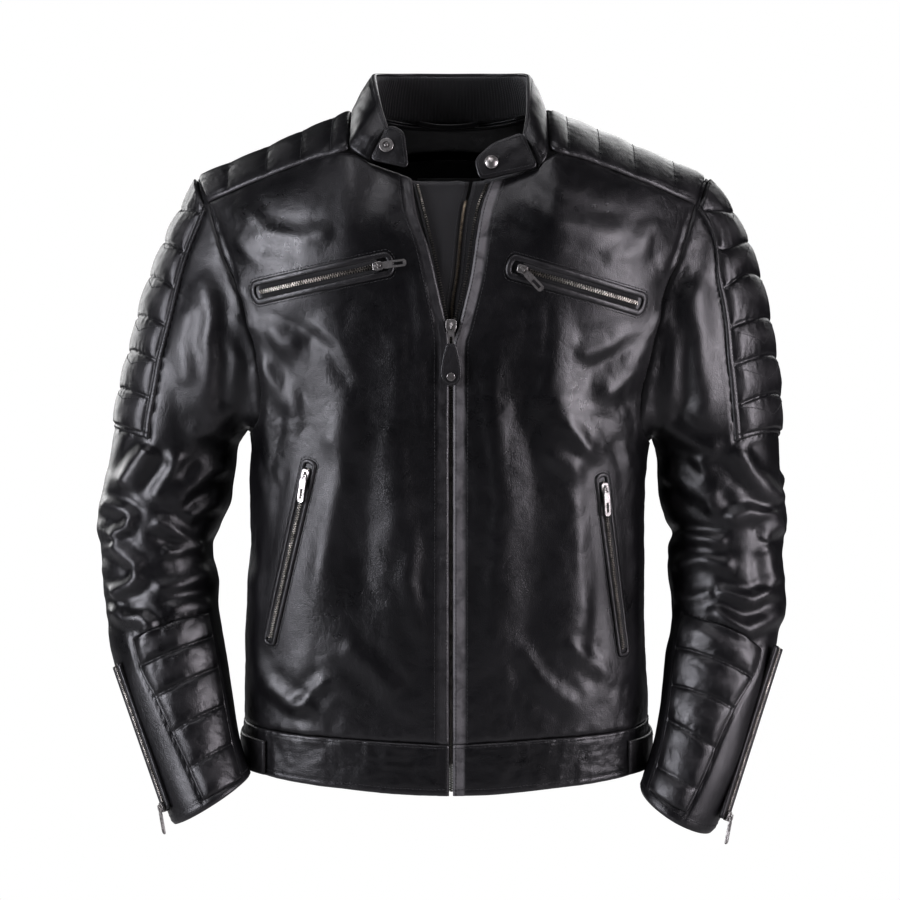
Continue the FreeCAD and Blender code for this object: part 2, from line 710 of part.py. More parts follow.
# ================================================================ collar
def neck_seam():
    """Neck seam from the right front end round the back to the left front end."""
    pts = [body(psi(-72.9, -33.1), -33.1), body(psi(-84.8, -25.8), -25.8)]
    for k in range(9):
        t = k / 8.0
        a = lerp(yoke_angle(-YOKE_X, -20.0, True), 0.0, t)
        pts.append(yoke_point(-YOKE_X, a))
    for x in (-88, -80, -68, -54, -38, -20, 0, 20, 38, 54, 68, 80, 88):
        z = NECK_B(abs(x))
        a = yoke_angle(x, z, False)
        pts.append(yoke_point(x, -a))
    for k in range(9):
        t = k / 8.0
        a = lerp(0.0, yoke_angle(YOKE_X, -20.0, True), t)
        pts.append(yoke_point(YOKE_X, a))
    pts += [body(psi(89.4, -30.4), -30.4), body(psi(82.9, -39.5), -39.5)]
    return pts


TOP = [(-55.5, -138.5, -2.5), (-62.5, -124, 18.5), (-67.5, -100, 36), (-70.0, -75, 45.5), (-70.5, -50, 49.5),
       (-66.5, -24, 51), (-53, -4, 51.5), (-32, 7, 52), (0, 11, 52), (32, 7, 52), (54, -4, 51.5),
       (69.0, -24, 51), (74.5, -50, 49), (75.0, -75, 44.5), (73.5, -100, 34), (71.5, -124, 13.5), (67.0, -139, -9.5)]


def spline_line(pts):
    c = Part.BSplineCurve()
    c.interpolate([V(*p) for p in pts])
    n = 240
    raw = [c.value(lerp(c.FirstParameter, c.LastParameter, k / float(n))) for k in range(n + 1)]
    return polyline([(p.x, p.y, p.z) for p in raw])


NECK = spline_line([(p.x, p.y, p.z) for p in neck_seam()])
CTOP = spline_line(TOP)


def collar_point(t, v):
    """t runs round the neck from 0 to 1, v from the neck seam 0 to the top edge 1."""
    a, b = V(*NECK(t)), V(*CTOP(t))
    p = a + (b - a) * v
    out = V(p.x - 1.0, (p.y - MID_Y) * 1.0, 0)
    return p + unit(out) * (2.2 * math.sin(math.pi * v))


def collar_n(t, v):
    e = 0.012
    a = collar_point(min(t + e, 1), v) - collar_point(max(t - e, 0), v)
    b = collar_point(t, min(v + 0.05, 1)) - collar_point(t, max(v - 0.05, 0))
    n = unit(a.cross(b))
    p = collar_point(t, v)
    if n.dot(V(p.x, p.y - MID_Y, 0)) < 0:
        n = n * -1
    return n


def collar_patch(t0, t1, v0, v1, hi, lo, nt=41, nv=6):
    pts = [[collar_point(lerp(t0, t1, i / (nt - 1.0)), lerp(v0, v1, j / (nv - 1.0))) for j in range(nv)] for i in range(nt)]
    nr = [[collar_n(lerp(t0, t1, i / (nt - 1.0)), lerp(v0, v1, j / (nv - 1.0))) for j in range(nv)] for i in range(nt)]
    return patch(pts, nr, hi, lo)


save("collar_band", collar_patch(0.0, 1.0, 0.05, 1.0, 0.0, -LEATHER))
save("collar_knit", collar_patch(0.012, 0.988, 0.10, 0.93, -LEATHER - 0.6, -LEATHER - 0.6 - COLLAR_KNIT_T))

# The yoke carries on across the back, between the two shoulders and below the collar.
def back_yoke():
    pts, nr = [], []
    n = 25
    for i in range(n):
        x = lerp(-YOKE_X + SEAM_GAP, YOKE_X - SEAM_GAP, i / (n - 1.0))
        t = abs(x) / (YOKE_X - 2.0)
        zt = NECK_B(abs(x)) - SEAM_GAP
        zb = lerp(BACK_NECK_Z, YOKE_B(YOKE_X - 2), min(t, 1) ** 3) + SEAM_GAP
        rp, rn = [], []
        for j in range(7):
            z = lerp(zb, zt, j / 6.0)
            a = -yoke_angle(x, z, False)
            rp.append(yoke_point(x, a))
            m = yoke_n(x, a)
            rn.append(m)
        pts.append(rp)
        nr.append(rn)
    return patch(pts, nr, 0.0, -LEATHER - 1.0)


save("yoke_back", back_yoke())

# ================================================================ main zip
def body_strip(xa, xb, z0, z1, hi, lo, nv=20, nu=3):
    """Strip on the front between x = xa(z) and x = xb(z)."""
    dom = []
    for i in range(nu):
        row = []
        for j in range(nv):
            z = lerp(z0, z1, j / (nv - 1.0))
            x = lerp(xa(z), xb(z), i / (nu - 1.0))
            row.append((psi(x, z), z))
        dom.append(row)
    p, n = body_grid(dom)
    return patch(p, n, hi, lo)


TEETH_R = pchip([(-612, 1.2), (-196, 1.2), (-188.9, 0.4), (-171.8, -4.2), (-146.6, -8.6), (-116.2, -14.4), (-84.8, -21.6), (-51.3, -30.0)])
TEETH_L = pchip([(-612, 2.6), (-196, 2.6), (-188.9, 3.6), (-171.8, 8.4), (-153.3, 14.0), (-128.7, 18.4), (-99.1, 22.4), (-74.9, 27.0), (-51.3, 36.0)])
teeth = [body_strip(lambda z: TEETH_R(z) - 2.6, lambda z: TEETH_R(z) - 0.05, ZIP_BOTTOM, -52.0, -2.9, -4.9, 30),
         body_strip(lambda z: TEETH_L(z) + 0.05, lambda z: TEETH_L(z) + 2.6, ZIP_BOTTOM, -53.0, -2.9, -4.9, 30)]
save("main_zip_teeth", comp(teeth))
tapes = [body_strip(lambda z: TEETH_R(z) - 16.0, lambda z: TEETH_R(z) - 1.0, ZIP_BOTTOM, -54.0, -5.2, -6.0, 30),
         body_strip(lambda z: TEETH_L(z) + 1.0, lambda z: TEETH_L(z) + 16.0, ZIP_BOTTOM, -56.0, -5.2, -6.0, 30)]
save("main_zip_tapes", comp(tapes))
inner = [body_strip(lambda z: INNER(z) - 1.3, lambda z: INNER(z) + 1.3, -588.0, -64.0, -6.3, -9.0, 24)]
save("lining_zip", comp(inner))

# ================================================================ hardware
def place(shape, o, x, y, z):
    """Moves a shape from local axes to axes x, y, z at o."""
    m = FreeCAD.Matrix(x.x, y.x, z.x, o.x, x.y, y.y, z.y, o.y, x.z, y.z, z.z, o.z, 0, 0, 0, 1)
    s = shape.copy()
    s.Placement = FreeCAD.Placement(m)
    return s


def soften(s, r):
    try:
        t = s.makeFillet(r, s.Edges)
        if t.isValid() and t.Volume > 0:
            return t
    except Exception:
        pass
    return s


def outline(pts, h, z0=0.0):
    w = Part.makePolygon([V(p[0], p[1], z0) for p in pts] + [V(pts[0][0], pts[0][1], z0)])
    return Part.Face(w).extrude(V(0, 0, h))


def slider_shape(turn=0.0, k=1.0):
    """Slider on a zip: X along its travel, Z off the zip. The bridge is turned by turn degrees."""
    pts = [(-4.6, -2.6), (-3.2, -3.9), (1.5, -3.9), (4.6, -2.9), (4.6, 2.9), (1.5, 3.9), (-3.2, 3.9), (-4.6, 2.6)]
    b = soften(outline([(p[0] * k, p[1] * k) for p in pts], 2.3, 0.5), 0.45)
    br = Part.makeBox(5.4, 1.9, 3.3, V(-2.7, -0.95, 2.4))
    br = soften(br, 0.4)
    br = br.cut(Part.makeBox(3.0, 4, 1.9, V(-1.5, -2, 2.95)))
    br.rotate(V(0, 0, 0), V(0, 0, 1), turn)
    s = b.fuse(br)
    try:
        s = s.removeSplitter()
    except Exception:
        pass
    return s


PIN_Z = 3.9              # hinge of a puller above the zip's face


def pull_shape(length=PULL_LEN, w=PULL_W, slot=True):
    """Puller: hinge bar along Y at the origin, plate along +X."""
    bar = Part.makeCylinder(0.5, 5.2, V(0, -2.6, 0), V(0, 1, 0))
    arms = [Part.makeBox(5.2, 0.9, 1.0, V(-0.4, s * 2.15 - 0.45, -0.5)) for s in (-1, 1)]
    pts = [(4.2, -2.6), (6.5, -w / 2), (length - 1.6, -w / 2), (length, -w / 2 + 1.6), (length, w / 2 - 1.6),
           (length - 1.6, w / 2), (6.5, w / 2), (4.2, 2.6)]
    plate = outline(pts, 1.1, -0.55)
    if slot:
        plate = plate.cut(Part.makeBox(length * 0.36, w * 0.42, 3, V(length * 0.52, -w * 0.21, -1.5)))
    s = bar.fuse(arms + [plate])
    try:
        s = s.removeSplitter()
    except Exception:
        pass
    return s


JOINTS = []


def zip_unit(name, centre, travel, normal, pull_dir, k=1.0, length=PULL_LEN, w=PULL_W, gap=0.0):
    """Slider and puller standing at centre, a point on the zip's face."""
    n = unit(normal)
    t = unit(travel - n * travel.dot(n))
    c = n.cross(t)
    p = unit(pull_dir - n * pull_dir.dot(n))
    turn = math.degrees(math.atan2(p.dot(c), p.dot(t)))
    bt = turn if abs(turn) <= 90 else turn - 180
    save(name + "_slider", place(slider_shape(bt, k), centre, t, c, n))
    o = centre + n * PIN_Z
    q = n.cross(p)
    save(name + "_pull", place(pull_shape(length, w), o, p, q, n))
    ax = p.cross(n)
    JOINTS.append((name, centre, t, o, ax))


def chain_box(a, b, n, w, hi, lo):
    """Straight zip chain from a to b."""
    t = unit(b - a)
    n = unit(n - t * n.dot(t))
    c = n.cross(t)
    L = (b - a).Length
    s = Part.makeBox(L, w, hi - lo, V(0, -w / 2, lo))
    return place(s, a, t, c, n)


def body_at(x, z, d):
    a = psi(x, z)
    return body(a, z) + body_n(a, z) * d


# main slider: it runs straight down the front
zs = SLIDER_Z
MAIN_N = unit(body_n(0.0, -300.0))
MAIN_N = unit(V(0, MAIN_N.y, MAIN_N.z))
zd = V(0, (front_depth(-600) - front_depth(-200)) / 400.0, -1.0)   # down the front, along the leather
zd = unit(V(0, (-(front_depth(-600)) + front_depth(-200)) / 400.0, -1.0))
c0 = body(psi(ZIP_X, zs), zs)
mc = V(ZIP_X, c0.y, zs) + MAIN_N * 0.3
save("main_slider", place(slider_shape(0.0, 1.25), mc, zd, MAIN_N.cross(zd), MAIN_N))
mo = mc + MAIN_N * PIN_Z
save("main_pull_link", place(pull_shape(19.0, 6.0), mo, zd, MAIN_N.cross(zd), MAIN_N))
# leather tab hung through the link's slot, with a rivet
tab_o = mo + zd * 16.0
hw = [(0.0, 3.2), (3.0, 5.0), (12.0, 7.4), (24.0, 9.3), (31.0, 9.0), (36.0, 6.2), (38.4, 2.4)]
tp = [(x, w) for x, w in hw] + [(x, -w) for x, w in reversed(hw)]
TAB_LIFT = 1.5
tab = outline(tp, 2.4, TAB_LIFT - 0.6)
tab = tab.cut(Part.makeCylinder(2.1, 6, V(30.0, 0, -2), V(0, 0, 1)))
tab = place(tab, tab_o, zd, MAIN_N.cross(zd), MAIN_N)
save("main_pull_tab", tab)
riv = Part.makeCylinder(2.0, 2.6, V(30.0, 0, TAB_LIFT - 0.7), V(0, 0, 1))
riv = riv.fuse(soften(Part.makeCylinder(3.7, 1.2, V(30.0, 0, TAB_LIFT + 1.85), V(0, 0, 1)), 0.4))
save("main_pull_rivet", place(riv, tab_o, zd, MAIN_N.cross(zd), MAIN_N))

# chest pockets: curved zips, each an arc through three points of the chest
CHEST = {-1: ((-171.8, -153.1), (-117.5, -140.4), (-64.0, -128.8)), 1: ((171.3, -163.0), (119.0, -147.0), (66.0, -131.6))}
chains, welts = [], []
ARC = {}
for side, nm in SIDES:
    (xa, za), (xm, zm), (xb, zb) = CHEST[side]
    lift = 0.4
    for _ in range(12):
        A, M, B = (body_at(x, z, lift) for x, z in ((xa, za), (xm, zm), (xb, zb)))
        # circle through the three points
        ab, ac = M - A, B - A
        nn = ab.cross(ac)
        c = A + ((nn.cross(ab) * ac.Length ** 2) + (ac.cross(nn) * ab.Length ** 2)) * (1 / (2 * nn.Length ** 2))
        axis = unit(nn)
        R = (A - c).Length
        ang = (B - c).getAngle(A - c)
        worst = 9e9
        for k in range(21):
            r = FreeCAD.Rotation(axis, math.degrees(ang) * k / 20.0)
            q = c + r.multVec(A - c)
            a = psi(q.x, q.z)
            for w in (-3.0, 0.0, 3.0):
                qq = q + axis * w
                a = psi(qq.x, qq.z)
                worst = min(worst, (qq - body(a, qq.z)).dot(body_n(a, qq.z)))
        if worst >= 0.3:
            break
        lift += 0.35 - worst if worst < 0.3 else 0
    ARC[side] = (c, axis, R, ang, A, B)
    sgn = 1.0
    r0 = unit(A - c)
    f = Part.Face(Part.makePolygon([A + axis * 3.2, A + axis * 3.2 + r0 * 1.3, A - axis * 3.2 + r0 * 1.3, A - axis * 3.2, A + axis * 3.2]))
    chains.append(f.revolve(c, axis, math.degrees(ang) + 0.9))
    # welts: two raised lips along the zip, on the leather
    for up in (1, -1):
        dom = []
        for i in range(3):
            row = []
            for j in range(13):
                r = FreeCAD.Rotation(axis, math.degrees(ang) * (j / 12.0 * 1.09 - 0.03))
                q = c + r.multVec(A - c)
                sg = up * (1 if axis.z > 0 else -1)
                qq = q + axis * (sg * lerp(6.0, 11.2, i / 2.0))
                row.append((psi(qq.x, qq.z), qq.z))
            dom.append(row)
        p_, n_ = body_grid(dom)
        welts.append(patch(p_, n_, 1.9, 0.3))
    nB = unit(B - c)
    tB = axis.cross(nB)
    # slider on the zip's inner end; its travel is an arc towards the outer end
    pd = V(1, 0, 0.13) if side < 0 else V(0.69, 0, -0.73)
    cB = B + nB * 1.3
    zip_unit("chest_" + nm, cB, -tB, nB, pd)
    JOINTS.append(("chest_%s_arc" % nm, c, axis, ang, R))
save("chest_zips", comp(chains))
save("chest_welts", comp(welts))

# hand pockets: straight zips
HAND = {-1: ((-127.6, -313.5), (-164.2, -473.5)), 1: ((139.8, -326.5), (160.8, -484.0))}
chains, welts = [], []
for side, nm in SIDES:
    (xa, za), (xb, zb) = HAND[side]
    lift = 0.4
    for _ in range(14):
        A, B = body_at(xa, za, lift), body_at(xb, zb, lift)
        n = unit(body_n(psi(xa, za), za) + body_n(psi(xb, zb), zb))
        t = unit(B - A)
        n = unit(n - t * n.dot(t))
        cc = n.cross(t)
        worst = 9e9
        for k in range(21):
            for w in (-3.2, 0, 3.2):
                q = A + (B - A) * (k / 20.0) + cc * w
                a = psi(q.x, q.z)
                worst = min(worst, (q - body(a, q.z)).dot(body_n(a, q.z)))
        if worst >= 0.3:
            break
        lift += 0.35 - worst
    chains.append(chain_box(A, B, n, 6.4, 1.3, 0.0))
    for up in (1, -1):
        dom = []
        for i in range(3):
            row = []
            for j in range(13):
                q = A + (B - A) * (j / 12.0 * 1.06 - 0.03) + cc * (up * lerp(5.8, 10.0, i / 2.0))
                row.append((psi(q.x, q.z), q.z))
            dom.append(row)
        p_, n_ = body_grid(dom)
        welts.append(patch(p_, n_, 1.9, 0.3))
    s0 = A + t * 5.5 + n * 1.3
    pd = V(-6.6, 0, -31) if side < 0 else V(3.5, 0, -33)
    zip_unit("hand_" + nm, s0, t, n, pd)
    JOINTS.append(("hand_%s_line" % nm, s0, t, (B - A).Length, n))
save("hand_zips", comp(chains))
save("hand_welts", comp(welts))

# cuff zips: straight, up the outer front of each forearm
CUFF = {-1: (14.9, 27.0, 18.85, 30.0), 1: (14.9, 27.0, 18.85, 30.0)}
chains = []
for side, nm in SIDES:
    s_a, f_a, s_b, f_b = CUFF[side]
    lift = 0.5
    for _ in range(14):
        A = sleeve(side, f_a, s_a) + sleeve_n(side, f_a, s_a) * lift
        B = sleeve(side, f_b, s_b) + sleeve_n(side, f_b, s_b) * lift
        n = unit(sleeve_n(side, f_a, s_a) + sleeve_n(side, f_b, s_b))
        t = unit(B - A)
        n = unit(n - t * n.dot(t))
        cc = n.cross(t)
        worst = 9e9
        for k in range(21):
            q = A + (B - A) * (k / 20.0)
            # nearest station
            best = None
            for m in range(60):
                s = lerp(s_a - 0.3, min(s_b + 0.3, LAST), m / 59.0)
                f0 = lerp(f_a, f_b, (s - s_a) / (s_b - s_a))
                for df in (-3, 0, 3):
                    p_ = sleeve(side, f0 + df, s)
                    d = (q - p_).Length
                    if best is None or d < best[0]:
                        best = (d, (q - p_).dot(sleeve_n(side, f0 + df, s)))
            worst = min(worst, best[1])
        if worst >= 0.5:
            break
        lift += 0.55 - worst
    chains.append(chain_box(A, B, n, 6.4, 1.3, 0.0))
    s0 = B - t * 4.0 + n * 1.3
    pd = V(-0.25, -0.05, -1) if side < 0 else V(0.05, -0.05, -1)
    zip_unit("cuff_" + nm, s0, t, n, pd)
    JOINTS.append(("cuff_%s_line" % nm, s0, t, (B - A).Length, n))
save("cuff_zips", comp(chains))

# ================================================================ collar tabs and snaps
def quad_plate(c00, c10, c11, c01, n, t, bulge=0.0):
    g = []
    for i in range(4):
        u = i / 3.0
        row = []
        for j in range(4):
            v = j / 3.0
            p = c00 * ((1 - u) * (1 - v)) + c10 * (u * (1 - v)) + c11 * (u * v) + c01 * ((1 - u) * v)
            row.append(p + n * (bulge * math.sin(math.pi * u) * math.sin(math.pi * v)))
        g.append(row)
    return slab([[p + n * t for p in r] for r in g], g)


TABS = {}
QUADS = {}


def on_tab(side, u, v):
    """Point just off the outer face of a collar tab."""
    c00, c10, c11, c01 = QUADS[side]
    p = c00 * ((1 - u) * (1 - v)) + c10 * (u * (1 - v)) + c11 * (u * v) + c01 * ((1 - u) * v)
    return p + TABS[side][2] * (3.2 + math.sin(math.pi * u) * math.sin(math.pi * v))


# root bottom, free bottom, free top, root top
for side, nm, q in ((-1, "right", ((-72.5, -150.0, -33.5), (-36.0, -156.5, -41.5), (-40.5, -150.0, -6.5), (-55.0, -143.0, -0.5))),
                    (1, "left", ((81.5, -156.0, -40.5), (27.5, -161.0, -52.0), (22.5, -156.0, -33.0), (67.0, -144.5, -8.0)))):
    c00, c10, c11, c01 = (V(*p) for p in q)
    n = unit((c10 - c00).cross(c01 - c00))
    if n.y > 0:
        n = n * -1
    tabs = quad_plate(c00, c10, c11, c01, n, 3.0, 1.0)
    save("collar_tab_" + nm, tabs)
    TABS[side] = (c00, c01, n, (c10 - c00))
    QUADS[side] = (c00, c10, c11, c01)
sc = on_tab(-1, 0.31, 0.45)
n = TABS[-1][2]
x_ = unit(TABS[-1][3])
y_ = n.cross(x_)
stud = soften(Part.makeCylinder(6.6, 1.5, V(0, 0, 0)), 0.5).cut(Part.makeCylinder(3.3, 3, V(0, 0, 0.5)))
stud = stud.fuse(soften(Part.makeCylinder(1.7, 2.6, V(0, 0, 0.2)), 0.4))
save("collar_snap_socket", place(stud, sc, x_, y_, n))
n = TABS[1][2]
x_ = unit(TABS[1][3])
y_ = n.cross(x_)
cap = Part.makeSphere(11.0, V(0, 0, -8.9)).common(Part.makeCylinder(6.4, 4, V(0, 0, 0))).fuse(Part.makeCylinder(6.4, 0.6, V(0, 0, 0)))
save("collar_snap_cap", place(cap, on_tab(1, 0.72, 0.54), x_, y_, n))

# ================================================================ hem straps
def hem_piece(side, a0, a1, z0, z1, hi, lo, n=13, taper=0):
    pts, nr = [], []
    for i in range(n):
        a = math.radians(lerp(a0, a1, i / (n - 1.0))) * side
        k = 4.0 if (taper and i >= n - 2) else 0.0
        row, rn = [], []
        for j in range(4):
            z = lerp(z0 + k, z1 - k, j / 3.0)
            row.append(body(a, z))
            rn.append(body_n(a, z))
        pts.append(row)
        nr.append(rn)
    return patch(pts, nr, hi, lo)


STRAP_A0, STRAP_A1 = 80.0, 138.0
bases = []
for side, nm in SIDES:
    # the strap's stitched base gives way where the sleeve rests on it
    base = hem_piece(side, 54.0, 79.2, -603.0, -571.0, 3.6, 0.8, 9)
    bases.append(max(base.cut(BACK_SLEEVES[side]).Solids, key=lambda b: b.Volume))
    save("hem_strap_" + nm, hem_piece(side, STRAP_A0, STRAP_A1, -601.0, -573.0, 3.6, 1.0, 13, 1))
    a = math.radians(130) * side
    z = -587.0
    n = body_n(a, z)
    x_ = unit(V(0, 0, 1).cross(n))
    y_ = n.cross(x_)
    cap = Part.makeSphere(11.0, V(0, 0, -8.9)).common(Part.makeCylinder(6.0, 4, V(0, 0, 0))).fuse(Part.makeCylinder(6.0, 0.5, V(0, 0, 0)))
    save("hem_snap_" + nm, place(cap, body(a, z) + n * 3.75, x_, y_, n))
    ra = math.radians(STRAP_A0) * side
    JOINTS.append(("hem_strap_" + nm, body(ra, z) + body_n(ra, z) * 2.2, unit(body(ra + side * 0.02, z) - body(ra - side * 0.02, z)).cross(body_n(ra, z))))
save("hem_strap_bases", comp(bases))

# ================================================================ inside the neck
loop_pts = [(-28, 6.6, 3.6), (-23.5, 4.0, 2.6), (-17, 1.4, 1.2), (-9, -0.5, 0.3), (0, -1.0, 0.0), (9, -0.5, 0.3), (17, 1.4, 1.2), (23.5, 4.0, 2.6), (28, 6.6, 3.6)]
g0, g1 = [], []
for k, p in enumerate(loop_pts):
    a = loop_pts[max(k - 1, 0)]
    b = loop_pts[min(k + 1, len(loop_pts) - 1)]
    t = unit(V(*b) - V(*a))
    up = V(0, 0, 1)
    n = unit(t.cross(up))
    if n.y > 0:
        n = n * -1
    w = up * 3.0
    g0.append([V(*p) + n * 1.0 + w, V(*p) + n * 1.0, V(*p) + n * 1.0 - w])
    g1.append([V(*p) - n * 0.9 + w, V(*p) - n * 0.9, V(*p) - n * 0.9 - w])
save("hanger_loop", slab(g0, g1))
# blank label on the lining below the loop
pts, nr = [], []
for i in range(5):
    x = lerp(-32, 32, i / 4.0)
    row, rn = [], []
    for j in range(4):
        z = lerp(-78, -44, j / 3.0)
        a = psi(abs(x), z, False)
        a = a if x >= 0 else 2 * math.pi - a
        row.append(body(a, z))
        rn.append(body_n(a, z))
    pts.append(row)
    nr.append(rn)
save("neck_label", patch(pts, nr, -LINER_IN - LINER_T - 0.3, -LINER_IN - LINER_T - 1.0))

# ================================================================ between leather and lining
bags = []
for side in (1, -1):
    for x0, x1, z0, z1 in ((60, 172, -250, -168), (60, 150, -500, -330)):
        dom = []
        for i in range(7):
            x = lerp(x0, x1, i / 6.0)
            dom.append([(psi(side * x, lerp(z0, z1, j / 5.0)), lerp(z0, z1, j / 5.0)) for j in range(6)])
        p_, n_ = body_grid(dom)
        bags.append(patch(p_, n_, -3.6, -7.2))
save("pocket_bags", comp(bags))
arm = []
for side in (1, -1):
    arm.append(sleeve_patch(side, lambda s: 232.0, lambda s: 318.0, 8.3, 12.8, -3.6, -9.2, 9, 10))
for side in (1, -1):
    p_, n_ = yoke_grid(side, 2.0, 9, 11, 130.0, 16.0)
    arm.append(patch(p_, n_, -4.2, -9.4))
save("armour_pads", comp(arm))

bad = [r for r in REPORT if not r[2] or r[3] <= 0]
print(len(REPORT), "nodes")
for r in REPORT:
    print("%-22s solids %d valid %s volume %.0f" % r)
print("BAD:", bad)
for j in JOINTS:
    print("JOINT", j)
print("MAIN", mc, zd, MAIN_N, mo, tab_o)
for s_ in TABS:
    print("TAB", s_, TABS[s_])
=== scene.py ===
import math
import bpy
import numpy as np
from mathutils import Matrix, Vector


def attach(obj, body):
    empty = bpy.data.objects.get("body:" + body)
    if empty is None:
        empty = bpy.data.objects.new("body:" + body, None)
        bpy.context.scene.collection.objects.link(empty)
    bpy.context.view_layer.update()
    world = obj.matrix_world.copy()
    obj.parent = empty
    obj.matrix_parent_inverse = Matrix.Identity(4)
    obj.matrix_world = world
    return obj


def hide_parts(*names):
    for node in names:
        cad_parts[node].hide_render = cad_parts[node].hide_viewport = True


# Leather riding jacket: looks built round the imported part. Lengths below are millimetres in the part's frame.
# +Z up, the fronts face -Y, +X is the wearer's left.

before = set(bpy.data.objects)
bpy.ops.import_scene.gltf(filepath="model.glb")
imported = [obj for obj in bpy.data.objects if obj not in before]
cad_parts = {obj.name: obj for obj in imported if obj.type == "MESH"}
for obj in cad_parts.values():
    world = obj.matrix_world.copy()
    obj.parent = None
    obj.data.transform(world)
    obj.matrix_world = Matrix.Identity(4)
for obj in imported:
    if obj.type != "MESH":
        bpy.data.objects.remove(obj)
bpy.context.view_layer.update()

MM = 0.001
RNG = np.random.default_rng(41)

# ================================================================ the jacket's surfaces
MID_Y, SQ, ROLL, CENTRE_X = -60.0, 2.6, 160.0, 3.0
CHEST_DEPTH, CHEST_SLOPE, CHEST_Z = 128.0, 0.0185, -186.0
LINER_IN, LINER_T = 8.0, 1.2
YOKE_X, BACK_NECK_Z, LAST = 91.0, -52.0, 19
HALF = math.pi / 2


def pchip(tab):
    xs = np.array([p[0] for p in tab], float)
    ys = np.array([p[1] for p in tab], float)
    h = np.diff(xs)
    d = np.diff(ys) / h
    m = np.zeros(len(xs))
    m[0], m[-1] = d[0], d[-1]
    for i in range(1, len(xs) - 1):
        if d[i - 1] * d[i] > 0:
            w1, w2 = 2 * h[i] + h[i - 1], h[i] + 2 * h[i - 1]
            m[i] = (w1 + w2) / (w1 / d[i - 1] + w2 / d[i])
    X = np.linspace(xs[0], xs[-1], 1601)
    k = np.clip(np.searchsorted(xs, X, side="right") - 1, 0, len(xs) - 2)
    t = (X - xs[k]) / h[k]
    Y = ((1 + 2 * t) * (1 - t) ** 2 * ys[k] + t * (1 - t) ** 2 * h[k] * m[k]
         + t * t * (3 - 2 * t) * ys[k + 1] + t * t * (t - 1) * h[k] * m[k + 1])
    return lambda x: np.interp(x, X, Y)


WR = pchip([(-645, 192), (-608, 195.5), (-567, 195.0), (-498, 195.5), (-440, 193), (-373, 187.5),
            (-306, 187.5), (-260, 194), (-200, 207), (-150, 219), (-100, 231), (-47, 239.5), (0, 242), (60, 242)])
WL = pchip([(-645, 189), (-612, 191), (-571, 190.7), (-498, 188.5), (-440, 184.5), (-373, 185),
            (-306, 189.5), (-260, 196.5), (-200, 210), (-150, 222), (-100, 235), (-47, 244.5), (0, 247), (60, 247)])
BACK_DEPTH = pchip([(-645, 117), (-540, 114), (-450, 110), (-350, 116), (-250, 122), (-150, 125), (60, 126)])
RIDGE_F = pchip([(0, -9), (30, -6.5), (60, 1), (80, 8.5), (93, 13), (110, 7.0), (133, -2.5),
                 (166, -17), (203, -32.5), (240, -48), (262, -57.5)])
RIDGE_B = pchip([(0, 33), (30, 31.5), (60, 26), (80, 18.5), (93, 13), (110, 7.0), (133, -2.5),
                 (166, -17), (203, -32.5), (240, -48), (262, -57.5)])
EDGE_R = pchip([(-616, 0.1), (-200, 0.1), (-182, -2.6), (-146.6, -10.3), (-110.8, -18.8), (-82.1, -29.3), (-47.7, -34.5)])
EDGE_L = pchip([(-616, 3.7), (-200, 3.7), (-192, 6.4), (-167.7, 12.7), (-136, 19.9), (-104.5, 24.5), (-74.9, 30.0), (-50.0, 39.2)])
ARM_R = pchip([(-287, 187.4), (-278, 178.5), (-262, 173), (-240, 173), (-206.7, 178.1), (-161.8, 190), (-121, 207.5), (-72.2, 225.3), (-46.5, 236.5)])
ARM_L = pchip([(-296, 189.2), (-286, 182), (-270, 178.5), (-245, 180), (-207, 187), (-162, 197.9), (-121, 213.5), (-72.2, 231.2), (-46.5, 241.8)])
PIT = {-1: -287.0, 1: -296.0}
HEM_SEAM = pchip([(0, -567.5), (30, -562.5), (60, -560.5), (90, -560), (180, -560)])
HEM_EDGE = pchip([(0, -614.6), (8, -614.2), (30, -609), (60, -603.5), (90, -600), (180, -598)])
YOKE_F = pchip([(90.4, -20.5), (98.6, -24.3), (125, -31.5), (157, -43), (197, -59), (226, -71), (240, -76)])
YOKE_B = pchip([(88, -52), (125, -62), (170, -76), (205, -88), (226, -97), (240, -103)])
NECK_B = pchip([(0, 0.0), (30, 1.6), (60, 6.0), (80, 10.8), (90, 13.5)])
TEETH_R = pchip([(-612, 1.2), (-196, 1.2), (-188.9, 0.4), (-171.8, -4.2), (-146.6, -8.6), (-116.2, -14.4), (-84.8, -21.6), (-51.3, -30.0)])
TEETH_L = pchip([(-612, 2.6), (-196, 2.6), (-188.9, 3.6), (-171.8, 8.4), (-153.3, 14.0), (-128.7, 18.4), (-99.1, 22.4), (-74.9, 27.0), (-51.3, 36.0)])
INNER = pchip([(-600, 2.5), (-175, 2.5), (-158, 3.6), (-143, 6.2), (-70, 14.0), (-58, 18.0), (-50, 20)])


def lerp(a, b, t):
    return a + (b - a) * t


def unit(v):
    v = np.asarray(v, float)
    return v / np.maximum(np.linalg.norm(v, axis=-1, keepdims=True), 1e-12)


def dot(a, b):
    return (np.asarray(a) * np.asarray(b)).sum(-1)


def smooth(t):
    t = np.clip(t, 0.0, 1.0)
    return t * t * (3 - 2 * t)


def front_depth(z):
    return CHEST_DEPTH + (z - CHEST_Z) * CHEST_SLOPE


def half_width(s, z):
    return np.where(np.asarray(s) > 0, WL(z), WR(z))


def ridge(x, front):
    a = abs(np.asarray(x) - CENTRE_X)
    return np.where(front, RIDGE_F(a), RIDGE_B(a))


def roll(t):
    t = np.clip(t, 0.0, 1.0)
    return np.sqrt(np.maximum(1 - (1 - t) ** 2, 0))


